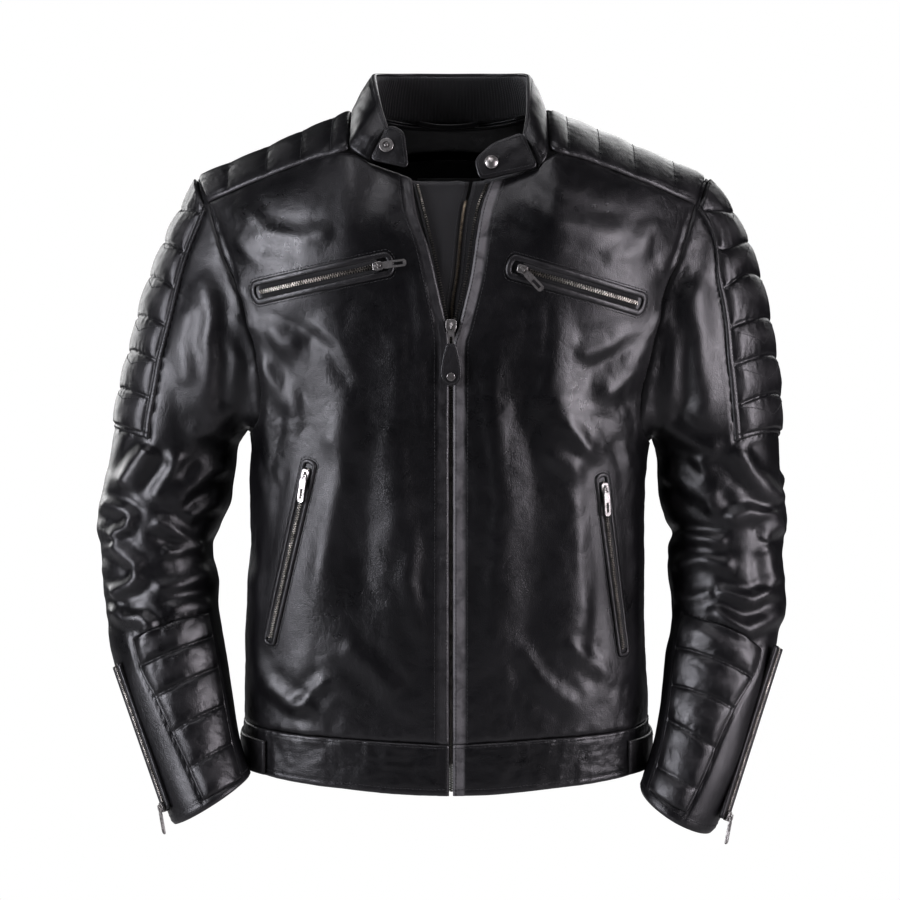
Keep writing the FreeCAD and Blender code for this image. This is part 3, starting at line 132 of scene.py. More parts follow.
def body(ps, z):
    ps, z = np.broadcast_arrays(np.asarray(ps, float), np.asarray(z, float))
    s, c = np.sin(ps), np.cos(ps)
    dn = (abs(s) ** SQ + abs(c) ** SQ) ** (1 / SQ)
    x = half_width(s, z) * s / dn
    fr = c >= 0
    b = np.where(fr, front_depth(z), BACK_DEPTH(z))
    y = MID_Y - b * (c / dn) * roll((ridge(x, fr) - z) / ROLL)
    return np.stack([x, y, z], -1)


def psi(x, z, front=True):
    x, z = np.broadcast_arrays(np.asarray(x, float), np.asarray(z, float))
    r = np.minimum(0.99999, abs(x) / half_width(x, z))
    q = r ** SQ
    a = np.arctan((q / (1 - q)) ** (1 / SQ))
    a = np.where(front, a, math.pi - a)
    return np.where(x >= 0, a, -a)


def body_n(ps, z):
    ps, z = np.broadcast_arrays(np.asarray(ps, float), np.asarray(z, float))
    a = body(ps + 1e-3, z) - body(ps - 1e-3, z)
    b = body(ps, z + 0.4) - body(ps, z - 0.4)
    n = unit(np.cross(b, a))
    ref = np.stack([np.zeros_like(z), np.full_like(z, MID_Y), np.minimum(z - 10, -120.0)], -1)
    return np.where((dot(n, body(ps, z) - ref) < 0)[..., None], -n, n)


def body_at(x, z, d=0.0):
    a = psi(x, z)
    return body(a, z) + body_n(a, z) * np.asarray(d)[..., None]


def line(pts):
    """Arc length parametrisation of a polyline, 0 to 1; an angle weighs as its arc."""
    p = np.array(pts, float)
    sc = np.array((150.0, 1.0) if p.shape[1] == 2 else (1.0, 1.0, 1.0))
    d = np.concatenate([[0], np.cumsum(np.linalg.norm(np.diff(p, axis=0) * sc, axis=1))])
    d /= d[-1]
    return lambda t: np.stack([np.interp(t, d, p[:, k]) for k in range(p.shape[1])], -1)


def coons(left, right, bottom, top, nu, nv):
    u, v = np.linspace(0, 1, nu), np.linspace(0, 1, nv)
    L, R, B, T = left(v), right(v), bottom(u), top(u)
    U, W = u[:, None, None], v[None, :, None]
    return ((1 - U) * L[None] + U * R[None] + (1 - W) * B[:, None] + W * T[:, None]
            - ((1 - U) * (1 - W) * L[0] + U * (1 - W) * R[0] + (1 - U) * W * L[-1] + U * W * R[-1]))


def arm_x(side, z, front=True):
    z = np.asarray(z, float)
    x = (ARM_L if side > 0 else ARM_R)(z)
    t = (z - PIT[side]) / (-46.5 - PIT[side])
    x = np.where(front, x, x + 9.0 * np.sin(math.pi * np.clip(t, 0, 1)))
    return np.minimum(x, half_width(side, z) * 0.9995)


def hem_seam(ps):
    return HEM_SEAM(abs(np.degrees(ps)))


def side_curve(side, front, lo, hi_z, g):
    pit = PIT[side]
    pts = []
    for k in range(9):
        ga = g / 190.0
        a = HALF * side
        pts.append((a - side * ga if front else a + side * ga, lerp(lo, pit - 4.0, k / 8.0)))
    for k in range(27):
        z = lerp(pit + 1.0, hi_z, (k / 26.0) ** 1.15)
        x = float(arm_x(side, z, front)) - g * (1.0 if z > pit + 12 else (z - pit) / 12.0)
        pts.append((float(psi(side * x, z, front)), z))
    lim = HALF - g / 190.0
    if front:
        return [(side * min(abs(p[0]), lim), p[1]) for p in pts]
    return [(side * max(abs(p[0]), math.pi - lim), p[1]) for p in pts]


def front_domain(side, nu, nv, g):
    edge = EDGE_L if side > 0 else EDGE_R
    ztop = -50.6 if side > 0 else -48.2
    zb = float(hem_seam(0.0)) + g
    lf = []
    for k in range(61):
        z = lerp(zb, ztop, k / 60.0)
        x = float(edge(z))
        lf.append((float(psi(abs(x), z)) * (1 if x >= 0 else -1), z))
    zc = float(YOKE_F(226)) - g
    rt = side_curve(side, True, float(hem_seam(HALF)) + g, zc, g)
    bt = [(lerp(lf[0][0], rt[0][0], k / 20.0), float(hem_seam(lerp(lf[0][0], rt[0][0], k / 20.0))) + g) for k in range(21)]
    neck = [(-53.7, -40.9), (-72.9, -33.6), (-84.8, -26.6)] if side < 0 else [(60.2, -47.3), (82.9, -40.1), (89.4, -31.0)]
    tp = [lf[-1]] + [(float(psi(x, z - g)), z - g) for x, z in neck]
    xe = abs(body(rt[-1][0], rt[-1][1])[0])
    for k in range(1, 17):
        x = lerp(YOKE_X + 1.0, xe, k / 16.0)
        z = float(YOKE_F(x)) - g
        tp.append(rt[-1] if k == 16 else (float(psi(side * x, z)), z))
    return coons(line(lf), line(rt), line(bt), line(tp), nu, nv)


def back_domain(nu, nv, g):
    zc = float(YOKE_B(226)) - g
    r = side_curve(1, False, float(hem_seam(HALF)) + g, zc, g)
    l = [(2 * math.pi + p[0], p[1]) for p in side_curve(-1, False, float(hem_seam(HALF)) + g, zc, g)]
    bt = [(lerp(r[0][0], l[0][0], k / 30.0), float(hem_seam(HALF)) + g) for k in range(31)]
    tp = [r[-1]]
    xr, xl = abs(body(*r[-1])[0]), abs(body(*l[-1])[0])
    for k in range(1, 10):
        x = lerp(xr, YOKE_X - 2, k / 9.0)
        z = float(YOKE_B(x)) - g
        tp.append((float(psi(x, z, False)), z))
    for x in (84, 70, 50, 25, 0, -25, -50, -70, -84):
        t = abs(x) / (YOKE_X - 2.0)
        z = lerp(BACK_NECK_Z, float(YOKE_B(YOKE_X - 2)), t ** 3) - g
        a = float(psi(abs(x), z, False))
        tp.append((a if x >= 0 else 2 * math.pi - a, z))
    for k in range(0, 9):
        x = lerp(YOKE_X - 2, xl, k / 9.0)
        z = float(YOKE_B(x)) - g
        tp.append((2 * math.pi - float(psi(x, z, False)), z))
    tp.append(l[-1])
    return coons(line(r), line(l), line(bt), line(tp), nu, nv)


def yoke_point(x, a):
    x, a = np.broadcast_arrays(np.asarray(x, float), np.asarray(a, float))
    fr = a >= 0
    z = ridge(x, fr) - ROLL * (1 - np.cos(abs(a)))
    r = np.minimum(abs(x) / half_width(x, z), 0.9999)
    d = (1 - r ** SQ) ** (1 / SQ)
    b = np.where(fr, front_depth(z), BACK_DEPTH(z))
    return np.stack([x, MID_Y - np.where(fr, 1, -1) * b * d * np.sin(abs(a)), z], -1)


def yoke_n(x, a):
    x, a = np.asarray(x, float), np.asarray(a, float)
    n = unit(np.cross(yoke_point(x + 0.3, a) - yoke_point(x - 0.3, a), yoke_point(x, a + 0.01) - yoke_point(x, a - 0.01)))
    return np.where(n[..., 2:3] > 0, n, -n)


def yoke_angle(x, z, front):
    return np.arccos(np.clip(1 - (ridge(x, front) - z) / ROLL, -1, 1))


def yoke_grid(side, g, nu, nv, x_in=None):
    xi = (YOKE_X + g) if x_in is None else x_in
    u, t = np.meshgrid(np.linspace(0, 1, nu), np.linspace(0, 1, nv), indexing="ij")
    x = np.full(u.shape, xi)
    for _ in range(7):
        af = yoke_angle(side * x, YOKE_F(x) + g, True)
        ab = yoke_angle(side * x, YOKE_B(x) + g, False)
        a = lerp(-ab, af, t)
        z = ridge(side * x, a >= 0) - ROLL * (1 - np.cos(a))
        xo = np.where(a >= 0, arm_x(side, np.minimum(z, -46.5), True), arm_x(side, np.minimum(z, -46.5), False)) - g
        x = lerp(xi, xo, u)
    return yoke_point(side * x, a), yoke_n(side * np.minimum(x, 205.0), a * 0.9), x


SL_R = [((-235.5, -46.9), (-187.9, -286.9), -60), ((-253.6, -81.6), (-188.9, -284.6), -60), ((-266.1, -107.0), (-190.8, -286.9), -60), ((-277.7, -133.4), (-193.2, -291.7), -60), ((-289.3, -166.4), (-196.5, -296.5), -60), ((-299.3, -206.2), (-199.5, -301.3), -59), ((-310.2, -247.1), (-201.5, -309.0), -58), ((-317.4, -287.2), (-202.6, -321.5), -57), ((-323.4, -317.7), (-205.6, -337.8), -57), ((-331.3, -349.2), (-208.5, -355.9), -58), ((-335.1, -376.7), (-218.0, -377.7), -60), ((-331.2, -399.4), (-225.5, -399.4), -63), ((-327.8, -433.9), (-218.5, -429.1), -70), ((-324.6, -452.4), (-218.3, -449.5), -75), ((-320.9, -484.4), (-214.7, -470.0), -85), ((-313.5, -513.5), (-208.6, -500.1), -94), ((-303.2, -546.1), (-203.3, -533.7), -104), ((-290.2, -576.6), (-198.1, -563.3), -114), ((-276.4, -606.2), (-191.0, -588.2), -123), ((-257.7, -649.0), (-184.6, -603.6), -136)]
SL_L = [((242.2, -46.9), (190.0, -296.5), -60), ((262.2, -73.2), (191.4, -294.5), -60), ((275.6, -97.6), (192.4, -296.5), -60), ((286.2, -122.1), (193.8, -301.2), -60), ((297.9, -161.7), (195.8, -307.9), -60), ((306.0, -206.2), (197.8, -317.5), -59), ((312.2, -247.1), (197.9, -329.1), -58), ((313.7, -287.2), (198.6, -340.7), -57), ((315.0, -317.7), (200.1, -354.1), -57), ((319.0, -354.0), (206.8, -373.1), -58), ((320.9, -377.7), (213.4, -385.4), -60), ((317.0, -399.4), (209.4, -399.4), -63), ((317.5, -431.0), (209.1, -424.3), -70), ((319.9, -451.4), (211.7, -447.6), -75), ((313.3, -474.8), (210.1, -472.9), -85), ((307.8, -497.3), (203.9, -494.4), -94), ((301.3, -529.0), (200.5, -521.3), -104), ((289.2, -560.5), (197.1, -548.1), -114), ((275.5, -599.6), (190.1, -580.6), -123), ((247.6, -654.7), (177.3, -615.9), -136)]
SL_DEPTH = [76, 75, 73, 71, 69, 67, 65, 64, 63, 62, 61, 60, 57, 56, 54, 52, 50, 48, 46, 44]
BOW = [1.0, 0.82, 0.62, 0.44, 0.28, 0.14, 0.05] + [0.0] * 13


def catmull(vals, s):
    n = len(vals)
    s = min(max(s, 0.0), n - 1.0)
    k = min(int(s), n - 2)
    t = s - k
    p1, p2 = vals[k], vals[k + 1]
    p0 = vals[k - 1] if k > 0 else 2 * p1 - p2
    p3 = vals[k + 2] if k + 2 < n else 2 * p2 - p1
    return 0.5 * (2 * p1 + (p2 - p0) * t + (2 * p0 - 5 * p1 + 4 * p2 - p3) * t * t + (3 * p1 - p0 - 3 * p2 + p3) * t ** 3)


def armhole_loop(side):
    out = []
    for front in (True, False):
        st = SL_L if side > 0 else SL_R
        pts = [np.array([st[0][0][0], MID_Y, st[0][0][1]])]
        for k in range(1, 40):
            z = lerp(-50.0, PIT[side], k / 39.0)
            x = float(arm_x(side, z, front))
            pts.append(body(psi(side * x, z, front), z))
        pts.append(np.array([side * float(half_width(side, PIT[side])), MID_Y, PIT[side]]))
        out.append(line(pts))
    return out


LOOPS = {s: armhole_loop(s) for s in (-1, 1)}
SS = np.linspace(0, LAST, 1901)
RINGS = {}
for _s, _t in ((-1, SL_R), (1, SL_L)):
    st = [np.array([o[0], o[1], i[0], i[1], float(y), float(d), b]) for (o, i, y), d, b in zip(_t, SL_DEPTH, BOW)]
    rows = []
    for s in SS:
        ox, oz, ix, iz, y, d, b = catmull(st, s)
        o, i = np.array([ox, y, oz]), np.array([ix, y, iz])
        c = (o + i) / 2
        a0, a1 = catmull(st, s - 0.5), catmull(st, s + 0.5)
        ax = np.array([(a1[0] + a1[2] - a0[0] - a0[2]) / 2, a1[4] - a0[4], (a1[1] + a1[3] - a0[1] - a0[3]) / 2])
        el = o - c
        fd = unit(np.cross(ax, unit(el)))
        fd = -fd if fd[1] > 0 else fd
        rows.append(np.concatenate([c, el, fd * d, [b]]))
    RINGS[_s] = np.array(rows)


def ring(side, s):
    r = RINGS[side]
    v = np.stack([np.interp(s, SS, r[:, k]) for k in range(10)], -1)
    return v[..., 0:3], v[..., 3:6], v[..., 6:9], v[..., 9]


def loop_at(side, phi):
    phi = np.mod(phi, 360.0)
    f, b = LOOPS[side]
    return np.where((phi <= 180)[..., None], f(phi / 180.0), b((360.0 - phi) / 180.0))


def sleeve(side, phi, s):
    phi, s = np.broadcast_arrays(np.asarray(phi, float), np.asarray(s, float))
    c, el, fd, b = ring(side, s)
    r = np.radians(phi)[..., None]
    p = c + el * np.cos(r) + fd * np.sin(r)
    c0, e0, f0, _ = ring(side, np.zeros_like(s))
    p0 = c0 + e0 * np.cos(r) + f0 * np.sin(r)
    p = p + (loop_at(side, phi) - p0) * np.maximum(b, 0)[..., None]
    # the cuff is cut level, so its front reaches further along the arm than its back
    ax = unit(np.cross(el, fd))
    ax = np.where(ax[..., 2:3] > 0, -ax, ax)
    return p + ax * (17.0 * np.sin(r[..., 0]) * smooth((s - 16.9) / 2.1))[..., None]


def sleeve_n(side, phi, s):
    phi, s = np.broadcast_arrays(np.asarray(phi, float), np.asarray(s, float))
    a = sleeve(side, phi + 1.5, s) - sleeve(side, phi - 1.5, s)
    b = sleeve(side, phi, np.minimum(s + 0.12, LAST)) - sleeve(side, phi, np.maximum(s - 0.12, 0))
    n = unit(np.cross(a, b))
    c = ring(side, s)[0]
    n = np.where((dot(n, sleeve(side, phi, s) - c) < 0)[..., None], -n, n)
    q = loop_at(side, phi)
    m = body_n(psi(q[..., 0], q[..., 2], q[..., 1] < MID_Y), q[..., 2])
    tip = unit(np.array([side * 0.35, 0, 0.94]))
    m = np.where((q[..., 2] > -49.0)[..., None], tip, m)
    w = np.clip(1 - s / 0.8, 0, 1)[..., None]
    return unit(n * (1 - w) + m * w)


# quilted pads: front border angle by station, channel seams at the outer and at the front border
PAD_FRONT = {-1: pchip([(0, 24), (1.3, 33), (3.1, 50), (4.3, 60), (5.9, 68), (7.2, 71)]),
             1: pchip([(0, 24), (0.8, 30), (1.8, 48), (3.2, 61), (4.2, 73), (5.3, 79), (7.2, 83)])}
PAD_BACK = -62.0
PAD_END = {-1: (6.95, 6.7), 1: (7.2, 6.3)}
PAD_SEAMS = {-1: ((-0.2, 0.9, 2.1, 3.3, 4.4, 5.2, 6.05, 6.95), (-0.9, 0.2, 1.25, 2.4, 3.5, 4.45, 5.5, 6.7)),
             1: ((0.1, 1.35, 2.55, 3.6, 4.53, 5.37, 6.26, 7.2), (-1.0, 0.1, 1.1, 2.2, 3.35, 4.15, 5.2, 6.3))}
FORE_OUT = {-1: pchip([(13, 58), (15.1, 60), (16, 69), (17, 76), (18.2, 85), (19, 90)]),
            1: pchip([(13, 44), (15.05, 46), (16.83, 67), (17.67, 79), (19, 87)])}
FORE_IN = 150.0
FORE_SEAMS = {-1: ((14.28, 15.12, 15.98, 17.05, 18.0, 18.78), (13.7, 14.45, 15.3, 16.35, 17.5, 18.78)),
              1: ((15.05, 15.92, 16.83, 17.67, 18.38, 18.78), (13.7, 15.0, 16.22, 17.22, 18.27, 18.78))}


def spline_line(pts):
    """Natural cubic spline through points, arc length parametrised."""
    p = np.array(pts, float)
    n = len(p)
    t = np.concatenate([[0], np.cumsum(np.linalg.norm(np.diff(p, axis=0), axis=1))])
    h = np.diff(t)
    A = np.zeros((n, n))
    B = np.zeros((n, 3))
    A[0, 0] = A[-1, -1] = 1
    for i in range(1, n - 1):
        A[i, i - 1], A[i, i], A[i, i + 1] = h[i - 1], 2 * (h[i - 1] + h[i]), h[i]
        B[i] = 6 * ((p[i + 1] - p[i]) / h[i] - (p[i] - p[i - 1]) / h[i - 1])
    M = np.linalg.solve(A, B)
    x = np.linspace(0, t[-1], 481)
    k = np.clip(np.searchsorted(t, x, side="right") - 1, 0, n - 2)
    a, b = (t[k + 1] - x)[:, None], (x - t[k])[:, None]
    hh = h[k][:, None]
    q = (M[k] * a ** 3 + M[k + 1] * b ** 3) / (6 * hh) + (p[k] / hh - M[k] * hh / 6) * a + (p[k + 1] / hh - M[k + 1] * hh / 6) * b
    return line(q)


def neck_seam():
    pts = [body(psi(-72.9, -33.1), -33.1), body(psi(-84.8, -25.8), -25.8)]
    for k in range(9):
        pts.append(yoke_point(-YOKE_X, lerp(float(yoke_angle(-YOKE_X, -20.0, True)), 0.0, k / 8.0)))
    for x in (-88, -80, -68, -54, -38, -20, 0, 20, 38, 54, 68, 80, 88):
        pts.append(yoke_point(x, -float(yoke_angle(x, float(NECK_B(abs(x))), False))))
    for k in range(9):
        pts.append(yoke_point(YOKE_X, lerp(0.0, float(yoke_angle(YOKE_X, -20.0, True)), k / 8.0)))
    pts += [body(psi(89.4, -30.4), -30.4), body(psi(82.9, -39.5), -39.5)]
    return pts


TOP = [(-55.5, -138.5, -2.5), (-62.5, -124, 18.5), (-67.5, -100, 36), (-70.0, -75, 45.5), (-70.5, -50, 49.5),
       (-66.5, -24, 51), (-53, -4, 51.5), (-32, 7, 52), (0, 11, 52), (32, 7, 52), (54, -4, 51.5),
       (69.0, -24, 51), (74.5, -50, 49), (75.0, -75, 44.5), (73.5, -100, 34), (71.5, -124, 13.5), (67.0, -139, -9.5)]
NECK = spline_line(neck_seam())
CTOP = spline_line(TOP)


def collar_point(t, v):
    t, v = np.broadcast_arrays(np.asarray(t, float), np.asarray(v, float))
    a, b = NECK(t), CTOP(t)
    p = a + (b - a) * v[..., None]
    out = np.stack([p[..., 0] - 1.0, p[..., 1] - MID_Y, np.zeros_like(v)], -1)
    return p + unit(out) * (2.2 * np.sin(math.pi * v))[..., None]


def collar_n(t, v):
    t, v = np.broadcast_arrays(np.asarray(t, float), np.asarray(v, float))
    a = collar_point(np.minimum(t + 0.012, 1), v) - collar_point(np.maximum(t - 0.012, 0), v)
    b = collar_point(t, np.minimum(v + 0.05, 1)) - collar_point(t, np.maximum(v - 0.05, 0))
    n = unit(np.cross(a, b))
    p = collar_point(t, v)
    r = np.stack([p[..., 0], p[..., 1] - MID_Y, np.zeros_like(v)], -1)
    return np.where((dot(n, r) < 0)[..., None], -n, n)


# ================================================================ noise and folds
_perm = RNG.permutation(512).astype(np.int64)
_grad = unit(RNG.normal(size=(512, 3)))


def noise(p, seed=0):
    """Smooth gradient noise, about -1 to 1."""
    p = np.asarray(p, float) + np.array([seed * 17.13, seed * 5.71, seed * 9.37])
    i = np.floor(p).astype(np.int64)
    f = p - i
    w = f * f * f * (f * (f * 6 - 15) + 10)
    tot = 0.0
    for a in (0, 1):
        for b in (0, 1):
            for c in (0, 1):
                h = _perm[(_perm[(_perm[(i[..., 0] + a) & 511] + i[..., 1] + b) & 511] + i[..., 2] + c) & 511]
                g = _grad[h]
                d = g[..., 0] * (f[..., 0] - a) + g[..., 1] * (f[..., 1] - b) + g[..., 2] * (f[..., 2] - c)
                tot = tot + d * (w[..., 0] if a else 1 - w[..., 0]) * (w[..., 1] if b else 1 - w[..., 1]) * (w[..., 2] if c else 1 - w[..., 2])
    return tot * 1.7


def crease(p, seed=0, sharp=0.16):
    """Ridged noise: round humps with pinched creases between them, 0 to 1."""
    n = noise(p, seed)
    return np.clip(np.sqrt(n * n + sharp * sharp) - sharp, 0, 1)


EYE = np.array([1.0, MID_Y, -306.0]) + 2700.0 * np.array([0.0, -math.cos(math.radians(5)), math.sin(math.radians(5))])
FWD = np.array([0.0, math.cos(math.radians(5)), -math.sin(math.radians(5))])
UPV = np.array([0.0, math.sin(math.radians(5)), math.cos(math.radians(5))])


def drawing(P):
    """Where a point stands on the front drawing, a square of 900 units 0.95 mm apart."""
    q = P - EYE
    w = q @ FWD
    return 450 + 2842.1 * q[..., 0] / w, 450 - 2842.1 * (q @ UPV) / w


def along(U, Vv, pts, amp, wl, wr, ends=0.18):
    """Height of a fold along a polyline of the drawing, with its own width on each side."""
    p = np.array(pts, float)
    seg = np.linalg.norm(np.diff(p, axis=0), axis=1)
    tot = seg.sum()
    m = 3.2 * max(wl, wr)
    sel = ((U > p[:, 0].min() - m) & (U < p[:, 0].max() + m) & (Vv > p[:, 1].min() - m) & (Vv < p[:, 1].max() + m))
    out = np.zeros(U.shape)
    if not sel.any():
        return out
    x, y = U[sel], Vv[sel]
    best = np.full(x.shape, 1e9)
    side = np.zeros(x.shape)
    tt = np.zeros(x.shape)
    acc = 0.0
    for k in range(len(p) - 1):
        d = (p[k + 1] - p[k]) / seg[k]
        rx, ry = x - p[k, 0], y - p[k, 1]
        s = np.clip(rx * d[0] + ry * d[1], 0, seg[k])
        ex, ey = rx - s * d[0], ry - s * d[1]
        e = np.hypot(ex, ey)
        c = d[0] * ey - d[1] * ex
        better = e < best
        best = np.where(better, e, best)
        side = np.where(better, c, side)
        tt = np.where(better, (acc + s) / tot, tt)
        acc += seg[k]
    w = np.where(side > 0, wr, wl)
    r = best / w
    prof = np.exp(-r * r) - 0.28 * np.exp(-((r - 1.9) / 0.75) ** 2)
    taper = smooth(tt / ends) * smooth((1 - tt) / ends)
    taper = 0.12 + 0.88 * taper
    far = np.exp(-np.maximum(0, np.where((tt <= 0) | (tt >= 1), best, 0)) ** 2 / (min(wl, wr) * 0.9) ** 2)
    out[sel] = amp * prof * taper * np.where((tt <= 0) | (tt >= 1), far, 1.0)
    return out


# folds of the front, on the drawing: points, height, width to the left and to the right
FOLDS = [
    # wearer's right front
    ([(237, 272), (255, 321), (282, 341), (305, 352)], 3.4, 9, 13),
    ([(262, 330), (268, 400), (262, 470), (268, 540)], 2.4, 10, 14),
    ([(330, 300), (347, 375), (340, 450), (322, 530), (312, 620)], 3.2, 22, 20),
    ([(378, 300), (398, 370), (392, 450), (402, 560), (396, 660)], 2.6, 17, 20),
    ([(300, 330), (330, 350), (352, 392)], -1.6, 7, 9),
    ([(238, 300), (262, 360), (300, 420)], 1.8, 8, 8),
    ([(415, 250), (424, 320), (420, 400), (424, 480)], 1.5, 9, 8),
    ([(230, 230), (258, 262), (300, 262)], 1.4, 10, 8),
    ([(262, 678), (290, 702), (322, 712)], 2.2, 7, 8),
    ([(330, 676), (305, 700), (286, 716)], 1.8, 7, 7),
    ([(255, 560), (262, 620), (258, 690)], 2.0, 9, 9),
    ([(340, 640), (372, 668), (400, 700)], 1.6, 9, 10),
    ([(420, 520), (410, 580), (425, 650)], 1.5, 8, 9),
    ([(400, 180), (385, 215), (400, 245)], 1.4, 10, 12),
    ([(240, 205), (262, 232), (300, 240), (340, 232)], 1.5, 9, 10),
    ([(206, 203), (224, 256), (238, 300)], 1.6, 3, 10),
    # wearer's left front
    ([(664, 301), (642, 350), (620, 385), (590, 405)], 3.0, 10, 12),
    ([(640, 322), (612, 345), (574, 356)], 2.0, 8, 9),
    ([(502, 310), (492, 400), (502, 500), (494, 620), (500, 700)], 2.8, 18, 18),
    ([(548, 330), (556, 400), (582, 450), (590, 520), (578, 600), (566, 690)], 3.4, 20, 22),
    ([(560, 418), (584, 446), (606, 470)], 1.6, 7, 7),
    ([(545, 452), (572, 470), (598, 492)], 1.4, 7, 7),
    ([(640, 430), (630, 500), (636, 590), (630, 680)], 2.4, 9, 11),
    ([(620, 560), (600, 620), (586, 700)], -1.6, 8, 10),
    ([(470, 430), (478, 500), (472, 560)], 1.4, 7, 8),
    ([(560, 640), (596, 664), (634, 676)], 1.8, 8, 9),
    ([(520, 640), (540, 680), (580, 712)], 1.6, 8, 9),
    ([(505, 190), (540, 215), (590, 232), (640, 240)], 1.6, 12, 12),
    ([(660, 215), (640, 250), (600, 262)], 1.5, 10, 9),
    ([(697, 207), (686, 238), (674, 276)], 1.6, 10, 3),
    # right sleeve
    ([(210, 262), (212, 330), (206, 400), (214, 440)], 4.4, 12, 16),
    ([(188, 300), (182, 345), (186, 392)], 2.6, 9, 10),
    ([(233, 300), (236, 360), (232, 410)], 2.4, 8, 8),
    ([(240, 404), (214, 428), (186, 436)], 2.6, 8, 9),
    ([(152, 444), (138, 464), (121, 488)], 5.2, 10, 9),
    ([(178, 448), (170, 478), (152, 502)], 3.4, 9, 9),
    ([(232, 462), (206, 472), (182, 492), (170, 508)], 3.6, 8, 9),
    ([(100, 503), (124, 510), (136, 524)], 4.0, 6, 7),
    ([(136, 524), (118, 532), (111, 540)], 3.6, 6, 6),
    ([(111, 540), (124, 553), (143, 571)], 4.2, 7, 7),
    ([(143, 571), (131, 585), (110, 595)], 4.0, 7, 7),
    ([(108, 606), (124, 618), (142, 619), (150, 626), (147, 641)], 3.6, 6, 7),
    ([(150, 520), (168, 526), (184, 537), (205, 545)], 3.6, 6, 7),
    ([(158, 552), (182, 550), (206, 548)], 3.0, 6, 6),
    ([(150, 590), (180, 584), (214, 572)], 2.6, 7, 7),
    ([(165, 612), (190, 606), (216, 604)], 2.0, 7, 7),
    ([(222, 500), (200, 510), (184, 520)], 2.4, 6, 6),
    # left sleeve
    ([(690, 268), (697, 330), (704, 400), (700, 440)], 4.0, 14, 12),
    ([(672, 310), (674, 370), (668, 425)], 2.4, 8, 8),
    ([(656, 418), (690, 440), (724, 452)], 2.6, 8, 8),
    ([(736, 446), (750, 472), (783, 505)], 5.0, 9, 9),
    ([(700, 452), (706, 480), (722, 500)], 3.0, 9, 8),
    ([(658, 470), (684, 480), (708, 500), (724, 516)], 3.6, 8, 8),
    ([(724, 518), (746, 513), (784, 518)], 4.6, 7, 8),
    ([(785, 524), (767, 532), (760, 542)], 3.4, 6, 6),
    ([(760, 542), (769, 555), (770, 571), (777, 588)], 3.6, 7, 7),
    ([(676, 532), (700, 540), (730, 544)], 3.0, 6, 7),
    ([(668, 566), (700, 560), (738, 566)], 3.0, 7, 7),
    ([(711, 592), (753, 600), (777, 588)], 4.0, 7, 7),
    ([(672, 600), (700, 596), (716, 592)], 2.6, 7, 7),
    ([(704, 604), (727, 619), (746, 629), (767, 621), (784, 605)], 4.0, 7, 8),
    ([(672, 628), (700, 632), (722, 644)], 2.2, 7, 7),
]
# folds of the back, on its own drawing (seen from behind, wearer's left at the left)
BACK_FOLDS = [
    ([(262, 330), (330, 360), (400, 372)], 2.8, 11, 13), ([(638, 330), (570, 362), (500, 374)], 2.8, 13, 11),
    ([(300, 260), (320, 330), (316, 410)], 2.2, 14, 14), ([(600, 262), (585, 335), (590, 420)], 2.2, 14, 14),
    ([(262, 470), (340, 486), (420, 478)], 2.2, 10, 12), ([(640, 500), (560, 520), (490, 508)], 2.2, 10, 12),
    ([(300, 560), (360, 580), (450, 574), (540, 590)], 2.0, 12, 12), ([(380, 400), (372, 520), (384, 660)], 2.4, 20, 20),
    ([(520, 400), (532, 520), (520, 670)], 2.4, 20, 20), ([(262, 640), (320, 660), (380, 704)], 1.9, 9, 9),
    ([(640, 640), (590, 664), (530, 704)], 1.9, 9, 9), ([(450, 300), (446, 380), (452, 470)], 1.6, 16, 16),
]
for _x in (1, -1):
    for _p, _h in (([(105, 470), (150, 500), (205, 500)], 4.2), ([(118, 520), (160, 540), (210, 536)], 4.6),
                   ([(112, 575), (158, 590), (212, 570)], 4.2), ([(130, 625), (170, 632), (212, 612)], 3.0),
                   ([(130, 430), (176, 452), (226, 446)], 3.2), ([(214, 300), (196, 360), (206, 430)], 3.4)):
        BACK_FOLDS.append(([(450 + _x * (450 - a), b) for a, b in _p], _h, 8, 9))


def rumple(P, N):
    """Height of the leather's folds above its smooth surface, in millimetres."""
    U, W = drawing(P)
    front = smooth((0.12 - N[..., 1]) / 0.3)
    h = np.zeros(U.shape)
    if (front > 0).any():
        # the lines of the folds waver a little
        wu = 1.8 * noise(P / np.array([34.0, 60.0, 26.0]), 3)
        wv = 1.8 * noise(P / np.array([34.0, 60.0, 26.0]), 4)
        for f in FOLDS:
            h += along(U + wu, W + wv, *f)
        h *= front
    back = 1 - front
    if (back > 0).any():
        U2, W2 = 450 - P[..., 0] / 0.95, 450 - (P[..., 2] + 306) / 0.95
        wu = 4.0 * noise(P / 40.0, 5)
        g = np.zeros(U.shape)
        for f in BACK_FOLDS:
            g += along(U2 + wu, W2 - wu, *f)
        h += g * back
    return h


def elbow(z):
    return np.exp(-((z + 392.0) / 88.0) ** 2)


